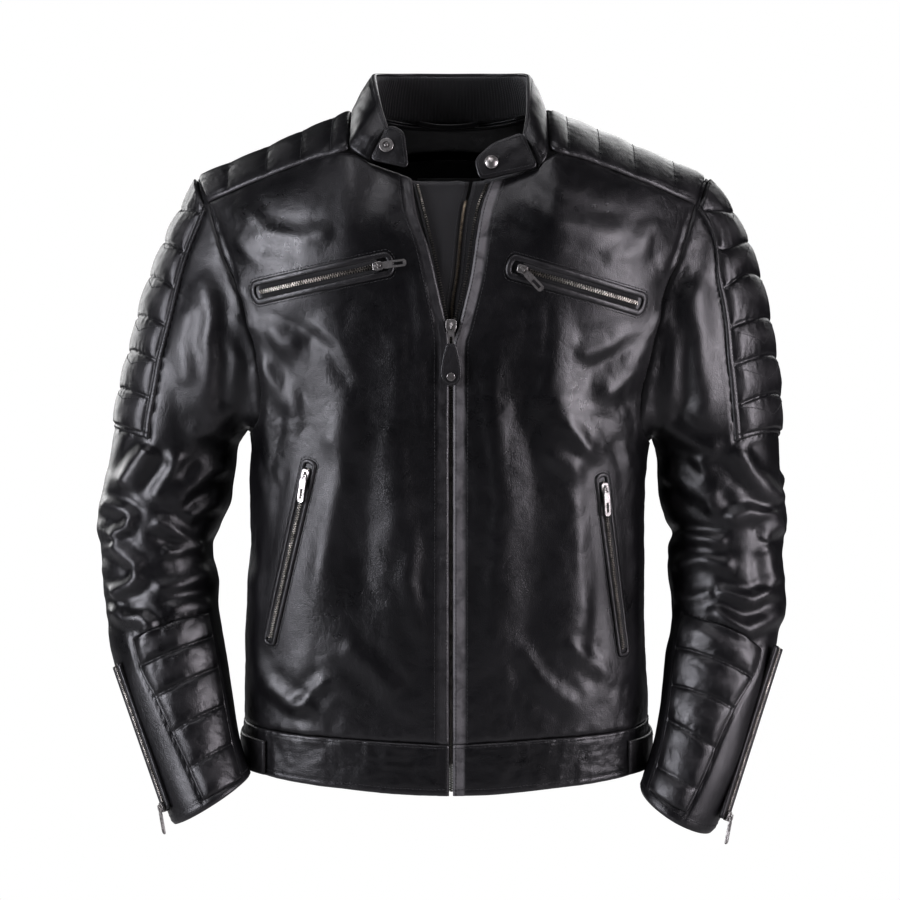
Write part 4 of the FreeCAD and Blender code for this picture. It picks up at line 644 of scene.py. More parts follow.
def drape(P, N, arm=0.0, quiet=1.0):
    """All the displacement of a leather surface. arm is 1 on the sleeves."""
    h = rumple(P, N)
    warp = np.stack([noise(P / 90.0, 11), noise(P / 90.0, 12), noise(P / 90.0, 13)], -1) * 22.0
    q = P + warp
    big = noise(q / np.array([62.0, 80.0, 125.0]), 21)
    mid = crease(q / np.array([34.0, 44.0, 58.0]), 22) - 0.22
    fine = crease((P + warp * 0.4) / np.array([15.0, 18.0, 19.0]), 23) - 0.2
    el = elbow(P[..., 2])
    if np.ndim(arm) or arm > 0:
        rings = crease(q / np.array([60.0, 60.0, 27.0]), 24) - 0.22
        wave = crease((P + warp * 1.3) / np.array([44.0, 50.0, 36.0]), 25) - 0.2
        h = 1.15 * h + arm * (1.2 * big + 1.0 * mid + el * (1.6 * rings + 0.9 * wave) + 0.45 * fine * (0.4 + el))
    else:
        pit = np.exp(-(((abs(P[..., 0]) - 185) / 55.0) ** 2 + ((P[..., 2] + 290) / 90.0) ** 2))
        low = smooth((-470 - P[..., 2]) / 60.0)
        h = 1.25 * h + 1.5 * big + (1.3 + 2.0 * pit + 0.7 * low) * mid + (0.36 + 0.7 * pit + 0.45 * low) * fine
        micro = crease((P + warp * 0.3) / np.array([8.0, 9.0, 7.0]), 26) - 0.2
        h = h + (0.05 + 0.22 * pit + 0.16 * low) * micro
    return h * quiet


def edge_dist(P, closed=False):
    """Distance of each grid point to the four borders, along the grid."""
    du = np.linalg.norm(np.diff(P, axis=0), axis=-1)
    dv = np.linalg.norm(np.diff(P, axis=1), axis=-1)
    cu = np.concatenate([np.zeros((1, P.shape[1])), np.cumsum(du, 0)], 0)
    cv = np.concatenate([np.zeros((P.shape[0], 1)), np.cumsum(dv, 1)], 1)
    return cu, cu[-1:] - cu, cv, cv[:, -1:] - cv


def tuck(d, w=4.0, h=1.6):
    """Leather turning down into a seam."""
    t = np.clip(d / w, 0, 1)
    return -h * (1 - np.sqrt(np.maximum(1 - (1 - t) ** 2, 0)))


def groove(d, at, w=1.1, h=0.5):
    return -h * np.exp(-((d - at) / w) ** 2)


def grid_normals(O, ref, closed=False):
    if closed:
        E = np.concatenate([O[-2:-1], O, O[1:2]], 0)
        gu = E[2:] - E[:-2]
    else:
        gu = np.gradient(O, axis=0)
    gv = np.gradient(O, axis=1)
    n = unit(np.cross(gu, gv))
    return np.where((dot(n, ref) < 0)[..., None], -n, n)


# ================================================================ making meshes
PIECES = {}


def mesh(name, verts, faces, mat, rides="shell", attrs=None, flat=False):
    """faces is a list of integer arrays, each (n, corners)."""
    me = bpy.data.meshes.new(name)
    v = np.ascontiguousarray(np.asarray(verts, np.float32).reshape(-1, 3) * MM)
    faces = [np.asarray(f, np.int32) for f in faces if len(f)]
    idx = np.concatenate([f.ravel() for f in faces])
    size = np.concatenate([np.full(len(f), f.shape[1], np.int32) for f in faces])
    start = np.concatenate([[0], np.cumsum(size)[:-1]]).astype(np.int32)
    me.vertices.add(len(v))
    me.vertices.foreach_set("co", v.ravel())
    me.loops.add(len(idx))
    me.loops.foreach_set("vertex_index", idx)
    me.polygons.add(len(size))
    me.polygons.foreach_set("loop_start", start)
    me.polygons.foreach_set("use_smooth", np.full(len(size), not flat))
    me.update(calc_edges=True)
    me.validate()
    for k, a in (attrs or {}).items():
        at = me.attributes.new(k, "FLOAT", "POINT")
        at.data.foreach_set("value", np.asarray(a, np.float32).ravel())
    o = bpy.data.objects.new(name, me)
    bpy.context.scene.collection.objects.link(o)
    me.materials.append(mat)
    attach(o, rides)
    PIECES[name] = o
    return o


def shell_faces(nu, nv, closed=False):
    """Faces of an outer and an inner grid joined round their borders."""
    n = nu * nv
    i = np.arange(n).reshape(nu, nv)
    if closed:
        i = i[:-1]
        i = np.concatenate([i, i[:1]], 0)
    q = np.stack([i[:-1, :-1], i[1:, :-1], i[1:, 1:], i[:-1, 1:]], -1).reshape(-1, 4)
    f = [q, (q + n)[:, ::-1]]
    for j, s in ((0, 1), (-1, -1)):
        a, b = i[:-1, j], i[1:, j]
        w = np.stack([a, a + n, b + n, b], -1)
        f.append(w if s > 0 else w[:, ::-1])
    if not closed:
        for k, s in ((0, -1), (-1, 1)):
            a, b = i[k, :-1], i[k, 1:]
            w = np.stack([a, a + n, b + n, b], -1)
            f.append(w if s > 0 else w[:, ::-1])
    return np.concatenate(f)


def thick_sheet(name, O, I, ref, mat, rides="shell", closed=False, attrs=None):
    nu, nv = O.shape[:2]
    F = shell_faces(nu, nv, closed)
    a, b = O[1, 1] - O[0, 0], O[0, 1] - O[1, 0]
    m, k = nu // 2, nv // 2
    c = np.cross(O[m + 1, k] - O[m, k], O[m, k + 1] - O[m, k])
    if dot(c, ref[m, k]) < 0:
        F = F[:, ::-1]
    V = np.concatenate([O.reshape(-1, 3), I.reshape(-1, 3)])
    if closed:
        # the last column repeats the first one
        n = nu * nv
        keep = np.concatenate([np.arange((nu - 1) * nv), n + np.arange((nu - 1) * nv)])
        m2 = np.full(2 * n, -1)
        m2[keep] = np.arange(len(keep))
        V, F = V[keep], m2[F]
        if attrs:
            attrs = {k2: np.concatenate([np.asarray(x).reshape(-1)[keep[:len(keep) // 2]]] * 2) for k2, x in attrs.items()}
    elif attrs:
        attrs = {k2: np.concatenate([np.asarray(x).reshape(-1)] * 2) for k2, x in attrs.items()}
    return mesh(name, V, [F], mat, rides, attrs)


def frames(path, nrm):
    """Tangents and side vectors of a path on a surface."""
    t = unit(np.gradient(path, axis=0))
    n = unit(nrm - t * dot(nrm, t)[:, None])
    return t, n, np.cross(n, t)


def resample(path, nrm, step, phase=0.5, closed=False):
    d = np.concatenate([[0], np.cumsum(np.linalg.norm(np.diff(path, axis=0), axis=1))])
    n = max(1, int(d[-1] / step))
    s = (np.arange(n) + phase) * (d[-1] / n)
    p = np.stack([np.interp(s, d, path[:, k]) for k in range(3)], -1)
    m = unit(np.stack([np.interp(s, d, nrm[:, k]) for k in range(3)], -1))
    e = 0.4
    a = np.stack([np.interp(np.clip(s + e, 0, d[-1]), d, path[:, k]) - np.interp(np.clip(s - e, 0, d[-1]), d, path[:, k]) for k in range(3)], -1)
    t = unit(a)
    m = unit(m - t * dot(m, t)[:, None])
    return p, t, m


def stamp(tv, tf, p, t, n):
    """Copies of a small part at points p with its X along t and its Z along n."""
    c = np.cross(n, t)
    V = p[:, None] + tv[None, :, 0:1] * t[:, None] + tv[None, :, 1:2] * c[:, None] + tv[None, :, 2:3] * n[:, None]
    F = (tf[None] + (np.arange(len(p)) * len(tv))[:, None, None]).reshape(-1, tf.shape[1])
    return V.reshape(-1, 3), F


def capsule(length, r, sides=6, sag=0.25):
    """A stitch: a short thread dipping into the leather at both ends."""
    V, xs = [], (-0.5, -0.46, -0.3, 0.0, 0.3, 0.46, 0.5)
    rs = (0.25, 0.75, 1.0, 1.0, 1.0, 0.75, 0.25)
    for x, q in zip(xs, rs):
        for k in range(sides):
            a = 2 * math.pi * k / sides
            V.append((x * length, r * q * math.cos(a), r * q * math.sin(a) * 0.85 - sag * (2 * x) ** 4))
    V = np.array(V)
    F = []
    for j in range(len(xs) - 1):
        for k in range(sides):
            k2 = (k + 1) % sides
            F.append((j * sides + k, (j + 1) * sides + k, (j + 1) * sides + k2, j * sides + k2))
    n = len(V)
    V = np.vstack([V, [(-0.52 * length, 0, -sag), (0.52 * length, 0, -sag)]])
    T = []
    for k in range(sides):
        k2 = (k + 1) % sides
        T.append((n, k, k2))
        T.append((n + 1, (len(xs) - 1) * sides + k2, (len(xs) - 1) * sides + k))
    return V, np.array(F), np.array(T)


STITCH = capsule(2.7, 0.36)
THREADS = {}


def stitch(group, path, nrm, pitch=3.5, lift=0.10):
    """Adds a row of stitches to a group, which becomes one piece."""
    if len(path) < 3:
        return
    p, t, n = resample(np.asarray(path), np.asarray(nrm), pitch)
    p = p + n * lift
    tv, tq, tt = STITCH
    V, Q = stamp(tv, tq, p, t, n)
    _, T = stamp(tv, tt, p, t, n)
    g = THREADS.setdefault(group, [[], [], [], 0])
    g[0].append(V)
    g[1].append(Q + g[3])
    g[2].append(T + g[3])
    g[3] += len(V)


def sweep(path, nrm, section, closed=False, scale=None):
    """Closed section (side, height) pairs swept along a path; returns vertices and faces."""
    path, nrm = np.asarray(path, float), np.asarray(nrm, float)
    if closed:
        ext = np.concatenate([path[-1:], path, path[:1]])
        t = unit(ext[2:] - ext[:-2])
    else:
        t = unit(np.gradient(path, axis=0))
    n = unit(nrm - t * dot(nrm, t)[:, None])
    c = np.cross(n, t)
    s = np.asarray(section, float)
    if scale is None:
        scale = np.ones(len(path))
    V = path[:, None] + (s[None, :, 0] * np.asarray(scale)[:, None])[..., None] * c[:, None] + s[None, :, 1, None] * n[:, None]
    m, k = len(path), len(s)
    i = np.arange(m * k).reshape(m, k)
    if closed:
        i = np.concatenate([i, i[:1]], 0)
    j = np.concatenate([i, i[:, :1]], 1)
    F = [np.stack([j[:-1, :-1], j[1:, :-1], j[1:, 1:], j[:-1, 1:]], -1).reshape(-1, 4)]
    V = V.reshape(-1, 3)
    if not closed:
        for row, flip in ((i[0], False), (i[-1], True)):
            cen = len(V)
            V = np.vstack([V, V[row].mean(0)])
            nx = np.roll(row, -1)
            tr = np.stack([np.full(k, cen), row, nx], -1)
            F.append(tr[:, ::-1] if flip else tr)
    return V, F


def oval(w, lo, hi, n=12, power=2.6):
    """Flattened oval section of half width w between heights lo and hi."""
    a = np.linspace(0, 2 * math.pi, n, endpoint=False)
    c, s = np.cos(a), np.sin(a)
    r = (abs(c) ** power + abs(s) ** power) ** (-1 / power)
    return np.stack([w * r * c, (lo + hi) / 2 + (hi - lo) / 2 * r * s], -1)


def merge(parts):
    """Joins (verts, [faces...]) lists into one."""
    V, F3, F4, n = [], [], [], 0
    for v, fs in parts:
        V.append(v)
        for f in fs:
            (F3 if f.shape[1] == 3 else F4).append(f + n)
        n += len(v)
    out = []
    if F4:
        out.append(np.concatenate(F4))
    if F3:
        out.append(np.concatenate(F3))
    return np.concatenate(V), out


def plate(outline2, t0, t1, o, x, y, n, rings=((0.0, 0.0), (0.5, 0.0)), dome=0.0, r=0.7, inner=8):
    """A plate with rounded edges: outline in (x, y), between heights t0 and t1 off o along n."""
    P = np.array(outline2, float)
    d = np.roll(P, -1, 0) - np.roll(P, 1, 0)
    inn = unit(np.stack([-d[:, 1], d[:, 0]], -1))
    c0 = P.mean(0)
    if (dot(inn, c0 - P) < 0).mean() > 0.5:
        inn = -inn
    rows = []
    for a in np.linspace(0, math.pi / 2, 4):
        rows.append((r * (1 - math.sin(a)), t0 + r * (1 - math.cos(a))))
    for a in np.linspace(math.pi / 2, 0, 4):
        rows.append((r * (1 - math.sin(a)), t1 - r * (1 - math.cos(a))))
    V = []
    for ins, h in rows:
        q = P + inn * ins
        V.append(np.concatenate([q, np.full((len(q), 1), h)], 1))
    top = V[-1][:, :2]
    for k in range(1, inner + 1):
        w = (k / (inner + 1.0))
        q = top + (c0 - top) * w
        V.append(np.concatenate([q, np.full((len(q), 1), t1 + dome * math.sin(w * math.pi / 2))], 1))
    m, kk = len(V), len(P)
    A = np.concatenate(V)
    i = np.arange(m * kk).reshape(m, kk)
    j = np.concatenate([i, i[:, :1]], 1)
    Q = np.stack([j[:-1, :-1], j[:-1, 1:], j[1:, 1:], j[1:, :-1]], -1).reshape(-1, 4)
    A = np.vstack([A, [c0[0], c0[1], t1 + dome], [c0[0], c0[1], t0]])
    T1 = np.stack([np.full(kk, len(A) - 2), i[-1], np.roll(i[-1], -1)], -1)
    T2 = np.stack([np.full(kk, len(A) - 1), np.roll(i[0], -1), i[0]], -1)
    W = o + A[:, 0:1] * x + A[:, 1:2] * y + A[:, 2:3] * n
    area = 0.5 * np.sum(P[:, 0] * np.roll(P[:, 1], -1) - P[:, 1] * np.roll(P[:, 0], -1))
    F = [Q, np.concatenate([T1, T2])]
    if area < 0:
        F = [f[:, ::-1] for f in F]
    return W, F


def rounded(pts, r, seg=5):
    """Polygon with rounded corners."""
    P = np.array(pts, float)
    out = []
    n = len(P)
    for k in range(n):
        a, b, c = P[k - 1], P[k], P[(k + 1) % n]
        u1, u2 = unit(a - b), unit(c - b)
        rr = min(r, 0.45 * np.linalg.norm(a - b), 0.45 * np.linalg.norm(c - b))
        for s in np.linspace(0, 1, seg + 1):
            out.append((b + u1 * rr) * (1 - s) ** 2 + b * 2 * s * (1 - s) + (b + u2 * rr) * s * s)
    # spread points along the straight runs
    Q = np.array(out)
    res = []
    for k in range(len(Q)):
        a, b = Q[k], Q[(k + 1) % len(Q)]
        m = max(1, int(np.linalg.norm(b - a) / 1.6))
        for s in range(m):
            res.append(a + (b - a) * s / m)
    return np.array(res)


# ================================================================ materials
def material(name):
    m = bpy.data.materials.new(name)
    m.use_nodes = True
    nt = m.node_tree
    nt.nodes.clear()
    out = nt.nodes.new("ShaderNodeOutputMaterial")
    bs = nt.nodes.new("ShaderNodeBsdfPrincipled")
    nt.links.new(bs.outputs[0], out.inputs[0])
    return m, nt, bs


def node(nt, kind, **kw):
    n = nt.nodes.new(kind)
    for k, v in kw.items():
        setattr(n, k, v)
    return n


def tex_noise(nt, co, scale, detail=3.0, rough=0.5, dist=0.0):
    n = node(nt, "ShaderNodeTexNoise")
    n.inputs["Scale"].default_value = scale
    n.inputs["Detail"].default_value = detail
    n.inputs["Roughness"].default_value = rough
    n.inputs["Distortion"].default_value = dist
    nt.links.new(co, n.inputs["Vector"])
    return n.outputs["Fac"]


def ramp(nt, val, a, b, c0=0.0, c1=1.0):
    n = node(nt, "ShaderNodeMapRange")
    n.inputs["From Min"].default_value = a
    n.inputs["From Max"].default_value = b
    n.inputs["To Min"].default_value = c0
    n.inputs["To Max"].default_value = c1
    nt.links.new(val, n.inputs["Value"])
    return n.outputs["Result"]


def math_node(nt, op, a, b):
    n = node(nt, "ShaderNodeMath", operation=op)
    for k, x in enumerate((a, b)):
        if isinstance(x, (int, float)):
            n.inputs[k].default_value = x
        else:
            nt.links.new(x, n.inputs[k])
    return n.outputs[0]


def mix_col(nt, fac, a, b):
    n = node(nt, "ShaderNodeMix", data_type="RGBA")
    if isinstance(fac, (int, float)):
        n.inputs[0].default_value = fac
    else:
        nt.links.new(fac, n.inputs[0])
    for k, x in ((6, a), (7, b)):
        if isinstance(x, tuple):
            n.inputs[k].default_value = (*x, 1)
        else:
            nt.links.new(x, n.inputs[k])
    return n.outputs[2]


def bump(nt, height, dist, strength, prev=None):
    n = node(nt, "ShaderNodeBump")
    n.inputs["Distance"].default_value = dist
    n.inputs["Strength"].default_value = strength
    nt.links.new(height, n.inputs["Height"])
    if prev is not None:
        nt.links.new(prev, n.inputs["Normal"])
    return n.outputs["Normal"]


def leather(name, dark=(0.0022, 0.0021, 0.0027), light=(0.0058, 0.0055, 0.0066), worn=(0.095, 0.092, 0.094), rough=(0.27, 0.385), grain=1.0, coat=0.0):
    m, nt, bs = material(name)
    tc = node(nt, "ShaderNodeTexCoord").outputs["Object"]
    big = tex_noise(nt, tc, 9.0, 4.0, 0.55, 0.4)
    med = tex_noise(nt, tc, 70.0, 5.0, 0.6, 0.8)
    fin = tex_noise(nt, tc, 420.0, 3.0, 0.6, 0.3)
    vor = node(nt, "ShaderNodeTexVoronoi", feature="DISTANCE_TO_EDGE")
    vor.inputs["Scale"].default_value = 620.0
    vor.inputs["Randomness"].default_value = 0.9
    nt.links.new(tc, vor.inputs["Vector"])
    cell = ramp(nt, vor.outputs["Distance"], 0.0, 0.22)
    # long fine wrinkles
    wav = node(nt, "ShaderNodeTexVoronoi", feature="DISTANCE_TO_EDGE")
    wav.inputs["Scale"].default_value = 105.0
    wv = node(nt, "ShaderNodeMapping")
    wv.inputs["Scale"].default_value = (1.0, 1.0, 0.62)
    dis = node(nt, "ShaderNodeTexNoise")
    dis.inputs["Scale"].default_value = 60.0
    dis.inputs["Detail"].default_value = 3.0
    nt.links.new(tc, dis.inputs["Vector"])
    vm = node(nt, "ShaderNodeVectorMath", operation="MULTIPLY_ADD")
    vm.inputs[1].default_value = (0.012, 0.012, 0.012)
    nt.links.new(dis.outputs["Color"], vm.inputs[0])
    nt.links.new(tc, vm.inputs[2])
    nt.links.new(vm.outputs[0], wv.inputs["Vector"])
    nt.links.new(wv.outputs[0], wav.inputs["Vector"])
    wr = ramp(nt, wav.outputs["Distance"], 0.0, 0.16)
    patchy = ramp(nt, tex_noise(nt, tc, 16.0, 2.0), 0.42, 0.66)
    n1 = bump(nt, wr, 0.00042, 0.5)
    wrk = nt.nodes[-1]
    nt.links.new(ramp(nt, patchy, 0.0, 1.0, 0.0, 0.16), wrk.inputs["Strength"])
    n2 = bump(nt, med, 0.0011, 0.27, n1)
    n3 = bump(nt, cell, 0.0001, 0.6 * grain, n2)
    n4 = bump(nt, fin, 0.00012, 0.3 * grain, n3)
    nt.links.new(n4, bs.inputs["Normal"])
    at = node(nt, "ShaderNodeAttribute", attribute_name="wear")
    wear = math_node(nt, "MULTIPLY", at.outputs["Fac"], ramp(nt, med, 0.3, 0.62, 0.35, 1.0))
    geo = node(nt, "ShaderNodeNewGeometry")
    rub = ramp(nt, geo.outputs["Pointiness"], 0.53, 0.64, 0.0, 0.45)
    wear = math_node(nt, "MAXIMUM", wear, math_node(nt, "MULTIPLY", rub, ramp(nt, med, 0.4, 0.7)))
    col = mix_col(nt, ramp(nt, big, 0.3, 0.7), dark, light)
    nt.links.new(mix_col(nt, wear, col, worn), bs.inputs["Base Color"])
    rr = math_node(nt, "ADD", ramp(nt, big, 0.3, 0.72, rough[0], rough[1]), ramp(nt, med, 0.3, 0.7, -0.035, 0.05))
    rr = math_node(nt, "ADD", rr, math_node(nt, "MULTIPLY", wear, 0.16))
    nt.links.new(rr, bs.inputs["Roughness"])
    bs.inputs["IOR"].default_value = 1.5
    bs.inputs["Specular IOR Level"].default_value = 0.52
    bs.inputs["Coat Weight"].default_value = coat
    bs.inputs["Coat Roughness"].default_value = 0.24
    return m


def cloth_material(name, dark, light, scale, rough=0.85, sheen=0.25, weave=1.0):
    m, nt, bs = material(name)
    tc = node(nt, "ShaderNodeTexCoord").outputs["Object"]
    w = node(nt, "ShaderNodeTexWave", wave_type="BANDS", bands_direction="Z")
    w.inputs["Scale"].default_value = scale
    w.inputs["Distortion"].default_value = 1.0
    w2 = node(nt, "ShaderNodeTexWave", wave_type="BANDS", bands_direction="DIAGONAL")
    w2.inputs["Scale"].default_value = scale
    w2.inputs["Distortion"].default_value = 0.6
    nt.links.new(tc, w.inputs["Vector"])
    nt.links.new(tc, w2.inputs["Vector"])
    h = math_node(nt, "MULTIPLY", w.outputs["Fac"], w2.outputs["Fac"])
    big = tex_noise(nt, tc, 30.0, 4.0)
    n1 = bump(nt, big, 0.002, 0.3)
    nt.links.new(bump(nt, h, 0.0003, 0.7 * weave, n1), bs.inputs["Normal"])
    nt.links.new(mix_col(nt, math_node(nt, "MULTIPLY", h, big), dark, light), bs.inputs["Base Color"])
    bs.inputs["Roughness"].default_value = rough
    bs.inputs["Sheen Weight"].default_value = sheen
    bs.inputs["Sheen Roughness"].default_value = 0.5
    bs.inputs["Specular IOR Level"].default_value = 0.3
    return m


def metal(name, dark, light, rough=(0.22, 0.42), scale=160.0):
    m, nt, bs = material(name)
    tc = node(nt, "ShaderNodeTexCoord").outputs["Object"]
    a = tex_noise(nt, tc, scale, 5.0, 0.65, 0.5)
    b = tex_noise(nt, tc, scale * 6, 3.0, 0.6)
    geo = node(nt, "ShaderNodeNewGeometry")
    rub = ramp(nt, geo.outputs["Pointiness"], 0.46, 0.56)
    f = math_node(nt, "MULTIPLY", ramp(nt, a, 0.32, 0.6), ramp(nt, rub, 0, 1, 0.45, 1.0))
    nt.links.new(mix_col(nt, f, dark, light), bs.inputs["Base Color"])
    nt.links.new(ramp(nt, a, 0.3, 0.7, rough[1], rough[0]), bs.inputs["Roughness"])
    nt.links.new(bump(nt, b, 0.00012, 0.35, bump(nt, a, 0.0002, 0.25)), bs.inputs["Normal"])
    bs.inputs["Metallic"].default_value = 1.0
    return m


M_LEATHER = leather("leather_black")
M_PAD = leather("leather_quilted", rough=(0.27, 0.38))
M_TRIM = leather("leather_trim", dark=(0.0026, 0.0025, 0.003), light=(0.0066, 0.0063, 0.0072), rough=(0.28, 0.38))
M_THREAD = cloth_material("thread_black", (0.012, 0.012, 0.013), (0.04, 0.04, 0.042), 900.0, 0.55, 0.1)
M_KNIT = cloth_material("knit_black", (0.004, 0.004, 0.0045), (0.02, 0.02, 0.022), 420.0, 0.9, 0.35)
M_LINING = cloth_material("lining_black", (0.0035, 0.0035, 0.004), (0.014, 0.014, 0.015), 520.0, 0.75, 0.15)
M_TAPE = cloth_material("zip_tape_black", (0.005, 0.005, 0.0055), (0.018, 0.018, 0.019), 700.0, 0.8, 0.2)
M_FOAM = cloth_material("armour_foam", (0.03, 0.03, 0.034), (0.06, 0.06, 0.066), 160.0, 0.9, 0.0)
M_LABEL = cloth_material("label_grey", (0.10, 0.10, 0.10), (0.24, 0.235, 0.23), 800.0, 0.8, 0.2)
M_TEETH = metal("teeth_nickel", (0.05, 0.046, 0.04), (0.34, 0.32, 0.29), (0.24, 0.42))
M_TEETH_DARK = metal("teeth_brass", (0.05, 0.042, 0.032), (0.36, 0.31, 0.24), (0.25, 0.45))
M_ZIP = metal("zip_antique_silver", (0.17, 0.16, 0.155), (0.66, 0.64, 0.62), (0.28, 0.46))
M_SNAP = metal("snap_antique_silver", (0.16, 0.15, 0.145), (0.62, 0.60, 0.58), (0.28, 0.44))

# ================================================================ where the zips lie
CH = {1: ((63.620, 32.418, -140.953), (-.27412, -.04455, -.96066), 218.74, .52856, (66.04, -187.40, -131.45)),
      -1: ((-61.564, 27.400, -139.577), (-.20545, .05216, .97728), 213.76, .54600, (-64.04, -187.36, -128.63))}
HD = {1: ((141.708, -159.537, -331.959), (.1321, .1169, -.9843), 159.9, (.6224, -.7826, -.0094)),
      -1: ((-130.070, -166.758, -318.813), (-.2226, .1374, -.9652), 165.7, (-.5543, -.8323, .0094))}
CF = {1: ((257.673, -158.207, -637.417), (-.3186, -.2378, -.9176), 168.4, (.8623, -.4746, -.1765)),
      -1: ((-264.494, -155.040, -629.312), (.3465, -.2676, -.8991), 143.7, (-.8656, -.4605, -.1965))}


def turn(v, axis, a):
    axis = unit(axis)
    return v * math.cos(a) + np.cross(axis, v) * math.sin(a) + axis * dot(axis, v) * (1 - math.cos(a))


ZIPS = {}
for s in (1, -1):
    c, ax, R, ang, sl = CH[s]
    c, ax, sl = np.array(c), unit(ax), np.array(sl)
    r0 = sl - c
    r0 = unit(r0 - ax * dot(r0, ax)) * R
    pts = np.array([c + turn(r0, ax, -ang * (1 - k / 40.0)) for k in range(41)])
    ZIPS["chest", s] = (pts, unit(pts - c), np.repeat(ax[None], 41, 0))
    sl, t, L, n = (np.array(HD[s][0]), unit(HD[s][1]), HD[s][2], unit(HD[s][3]))
    A = sl - t * 5.5 - n * 1.3
    k = np.linspace(0, 1, 41)[:, None]
    ZIPS["hand", s] = (A + t * L * k, np.repeat(n[None], 41, 0), np.repeat(np.cross(n, t)[None], 41, 0))
    sl, t, L, n = (np.array(CF[s][0]), unit(CF[s][1]), CF[s][2], unit(CF[s][3]))
    B = sl + t * 4.0 - n * 1.3
    ZIPS["cuff", s] = (B - t * L * (1 - k), np.repeat(n[None], 41, 0), np.repeat(np.cross(n, t)[None], 41, 0))


def dist_line(P, pts):
    best = np.full(P.shape[:-1], 1e9)
    q = pts[::5]
    for a, b in zip(q[:-1], q[1:]):
        d = b - a
        t = np.clip(((P - a) @ d) / (d @ d), 0, 1)
        best = np.minimum(best, np.linalg.norm(P - a - t[..., None] * d, axis=-1))
    return best


def calm(P, kinds=("chest", "hand", "cuff"), r0=13.0, r1=38.0):
    """0 beside a zip, 1 clear of it."""
    m = np.ones(P.shape[:-1])
    for (k, s), (pts, _, _) in ZIPS.items():
        if k in kinds:
            m = np.minimum(m, smooth((dist_line(P, pts) - r0) / (r1 - r0)))
    return m


def row(O, NO, D, d, axis):
    """Line on a displaced grid at distance d from a border; D is the distance grid."""
    n = O.shape[1 - axis]
    out, nn = [], []
    for j in range(n):
        dd = D[:, j] if axis == 0 else D[j]
        o = O[:, j] if axis == 0 else O[j]
        m = NO[:, j] if axis == 0 else NO[j]
        if dd[0] > dd[-1]:
            dd, o, m = dd[::-1], o[::-1], m[::-1]
        out.append([np.interp(d, dd, o[:, k]) for k in range(3)])
        nn.append([np.interp(d, dd, m[:, k]) for k in range(3)])
    return np.array(out), unit(np.array(nn))


def fret(P, k=6.0, amp=0.22, seed=51):
    """Small puckers along a seam."""
    return amp * noise(P / k, seed)


SHEETS = []

# ================================================================ fronts
for side, nm in ((1, "left"), (-1, "right")):
    nu, nv = (118, 214)
    dom = front_domain(side, nu, nv, 0.12)
    P = body(dom[..., 0], dom[..., 1])
    N = body_n(dom[..., 0], dom[..., 1])
    cu, cr, cv, ct = edge_dist(P)
    cm = calm(P)
    h = drape(P, N) * (0.10 + 0.90 * cm) * (0.22 + 0.78 * smooth((cu - 6) / 34.0))
    h = np.clip(h, -4.5, 9)
    strip_on = 1 - smooth((cu - 9.6) / 1.6)
    h -= 0.45 * strip_on
    h += groove(cu, 10.4, 0.9, 0.75) + groove(cu, 13.4, 0.8, 0.28)
    h += strip_on * (0.55 * noise(P / np.array([7.0, 7.0, 13.0]), 61))
    h += smooth((26 - cu) / 14.0) * (1 - strip_on) * 0.8 * (crease(P / np.array([14.0, 14.0, 7.5]), 62) - 0.2)
    h += tuck(cu, 1.8, 1.1) + tuck(cr, 4.2, 2.0) + tuck(cv, 4.5, 1.8) + tuck(ct, 4.0, 1.7)
    near = np.exp(-np.minimum(np.minimum(cr, cv), ct) / 9.0)
    h += near * fret(P, 7.0, 0.75)
    O = P + N * h[..., None]
    I = O - N * 2.1
    NO = grid_normals(O, N)
    wear = 0.25 * np.exp(-cu / 2.0) + (1.1 if side > 0 else 0.22) * strip_on + 0.12 * near
    o = thick_sheet("front_" + nm, O, I, N, M_LEATHER, attrs={"wear": wear})
    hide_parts("front_panel_" + nm)
    g = "stitches_front_" + nm
    stitch(g, *row(O, NO, cu, 2.6, 0))
    stitch(g, *row(O, NO, cu, 13.4, 0))
    p_, n_ = row(O, NO, cr, 3.2, 0)
    k = p_[:, 2] > PIT[side] + 6
    stitch(g, p_[k], n_[k])

# back
nu, nv = 232, 196
dom = back_domain(nu, nv, 0.12)
P, N = body(dom[..., 0], dom[..., 1]), body_n(dom[..., 0], dom[..., 1])
cu, cr, cv, ct = edge_dist(P)
h = np.clip(drape(P, N), -4.5, 8)
h += tuck(cu, 4.2, 2.0) + tuck(cr, 4.2, 2.0) + tuck(cv, 4.5, 1.8) + tuck(ct, 4.0, 1.7)
near = np.exp(-np.minimum(np.minimum(np.minimum(cr, cu), cv), ct) / 9.0)
h += near * fret(P, 7.0, 0.75)
O = P + N * h[..., None]
NO = grid_normals(O, N)
o = thick_sheet("back", O, O - N * 2.1, N, M_LEATHER, attrs={"wear": 0.12 * near})
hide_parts("back_panel")
for D in (cu, cr):
    p_, n_ = row(O, NO, D, 3.2, 0)
    k = p_[:, 2] > -284
    stitch("stitches_back", p_[k], n_[k])

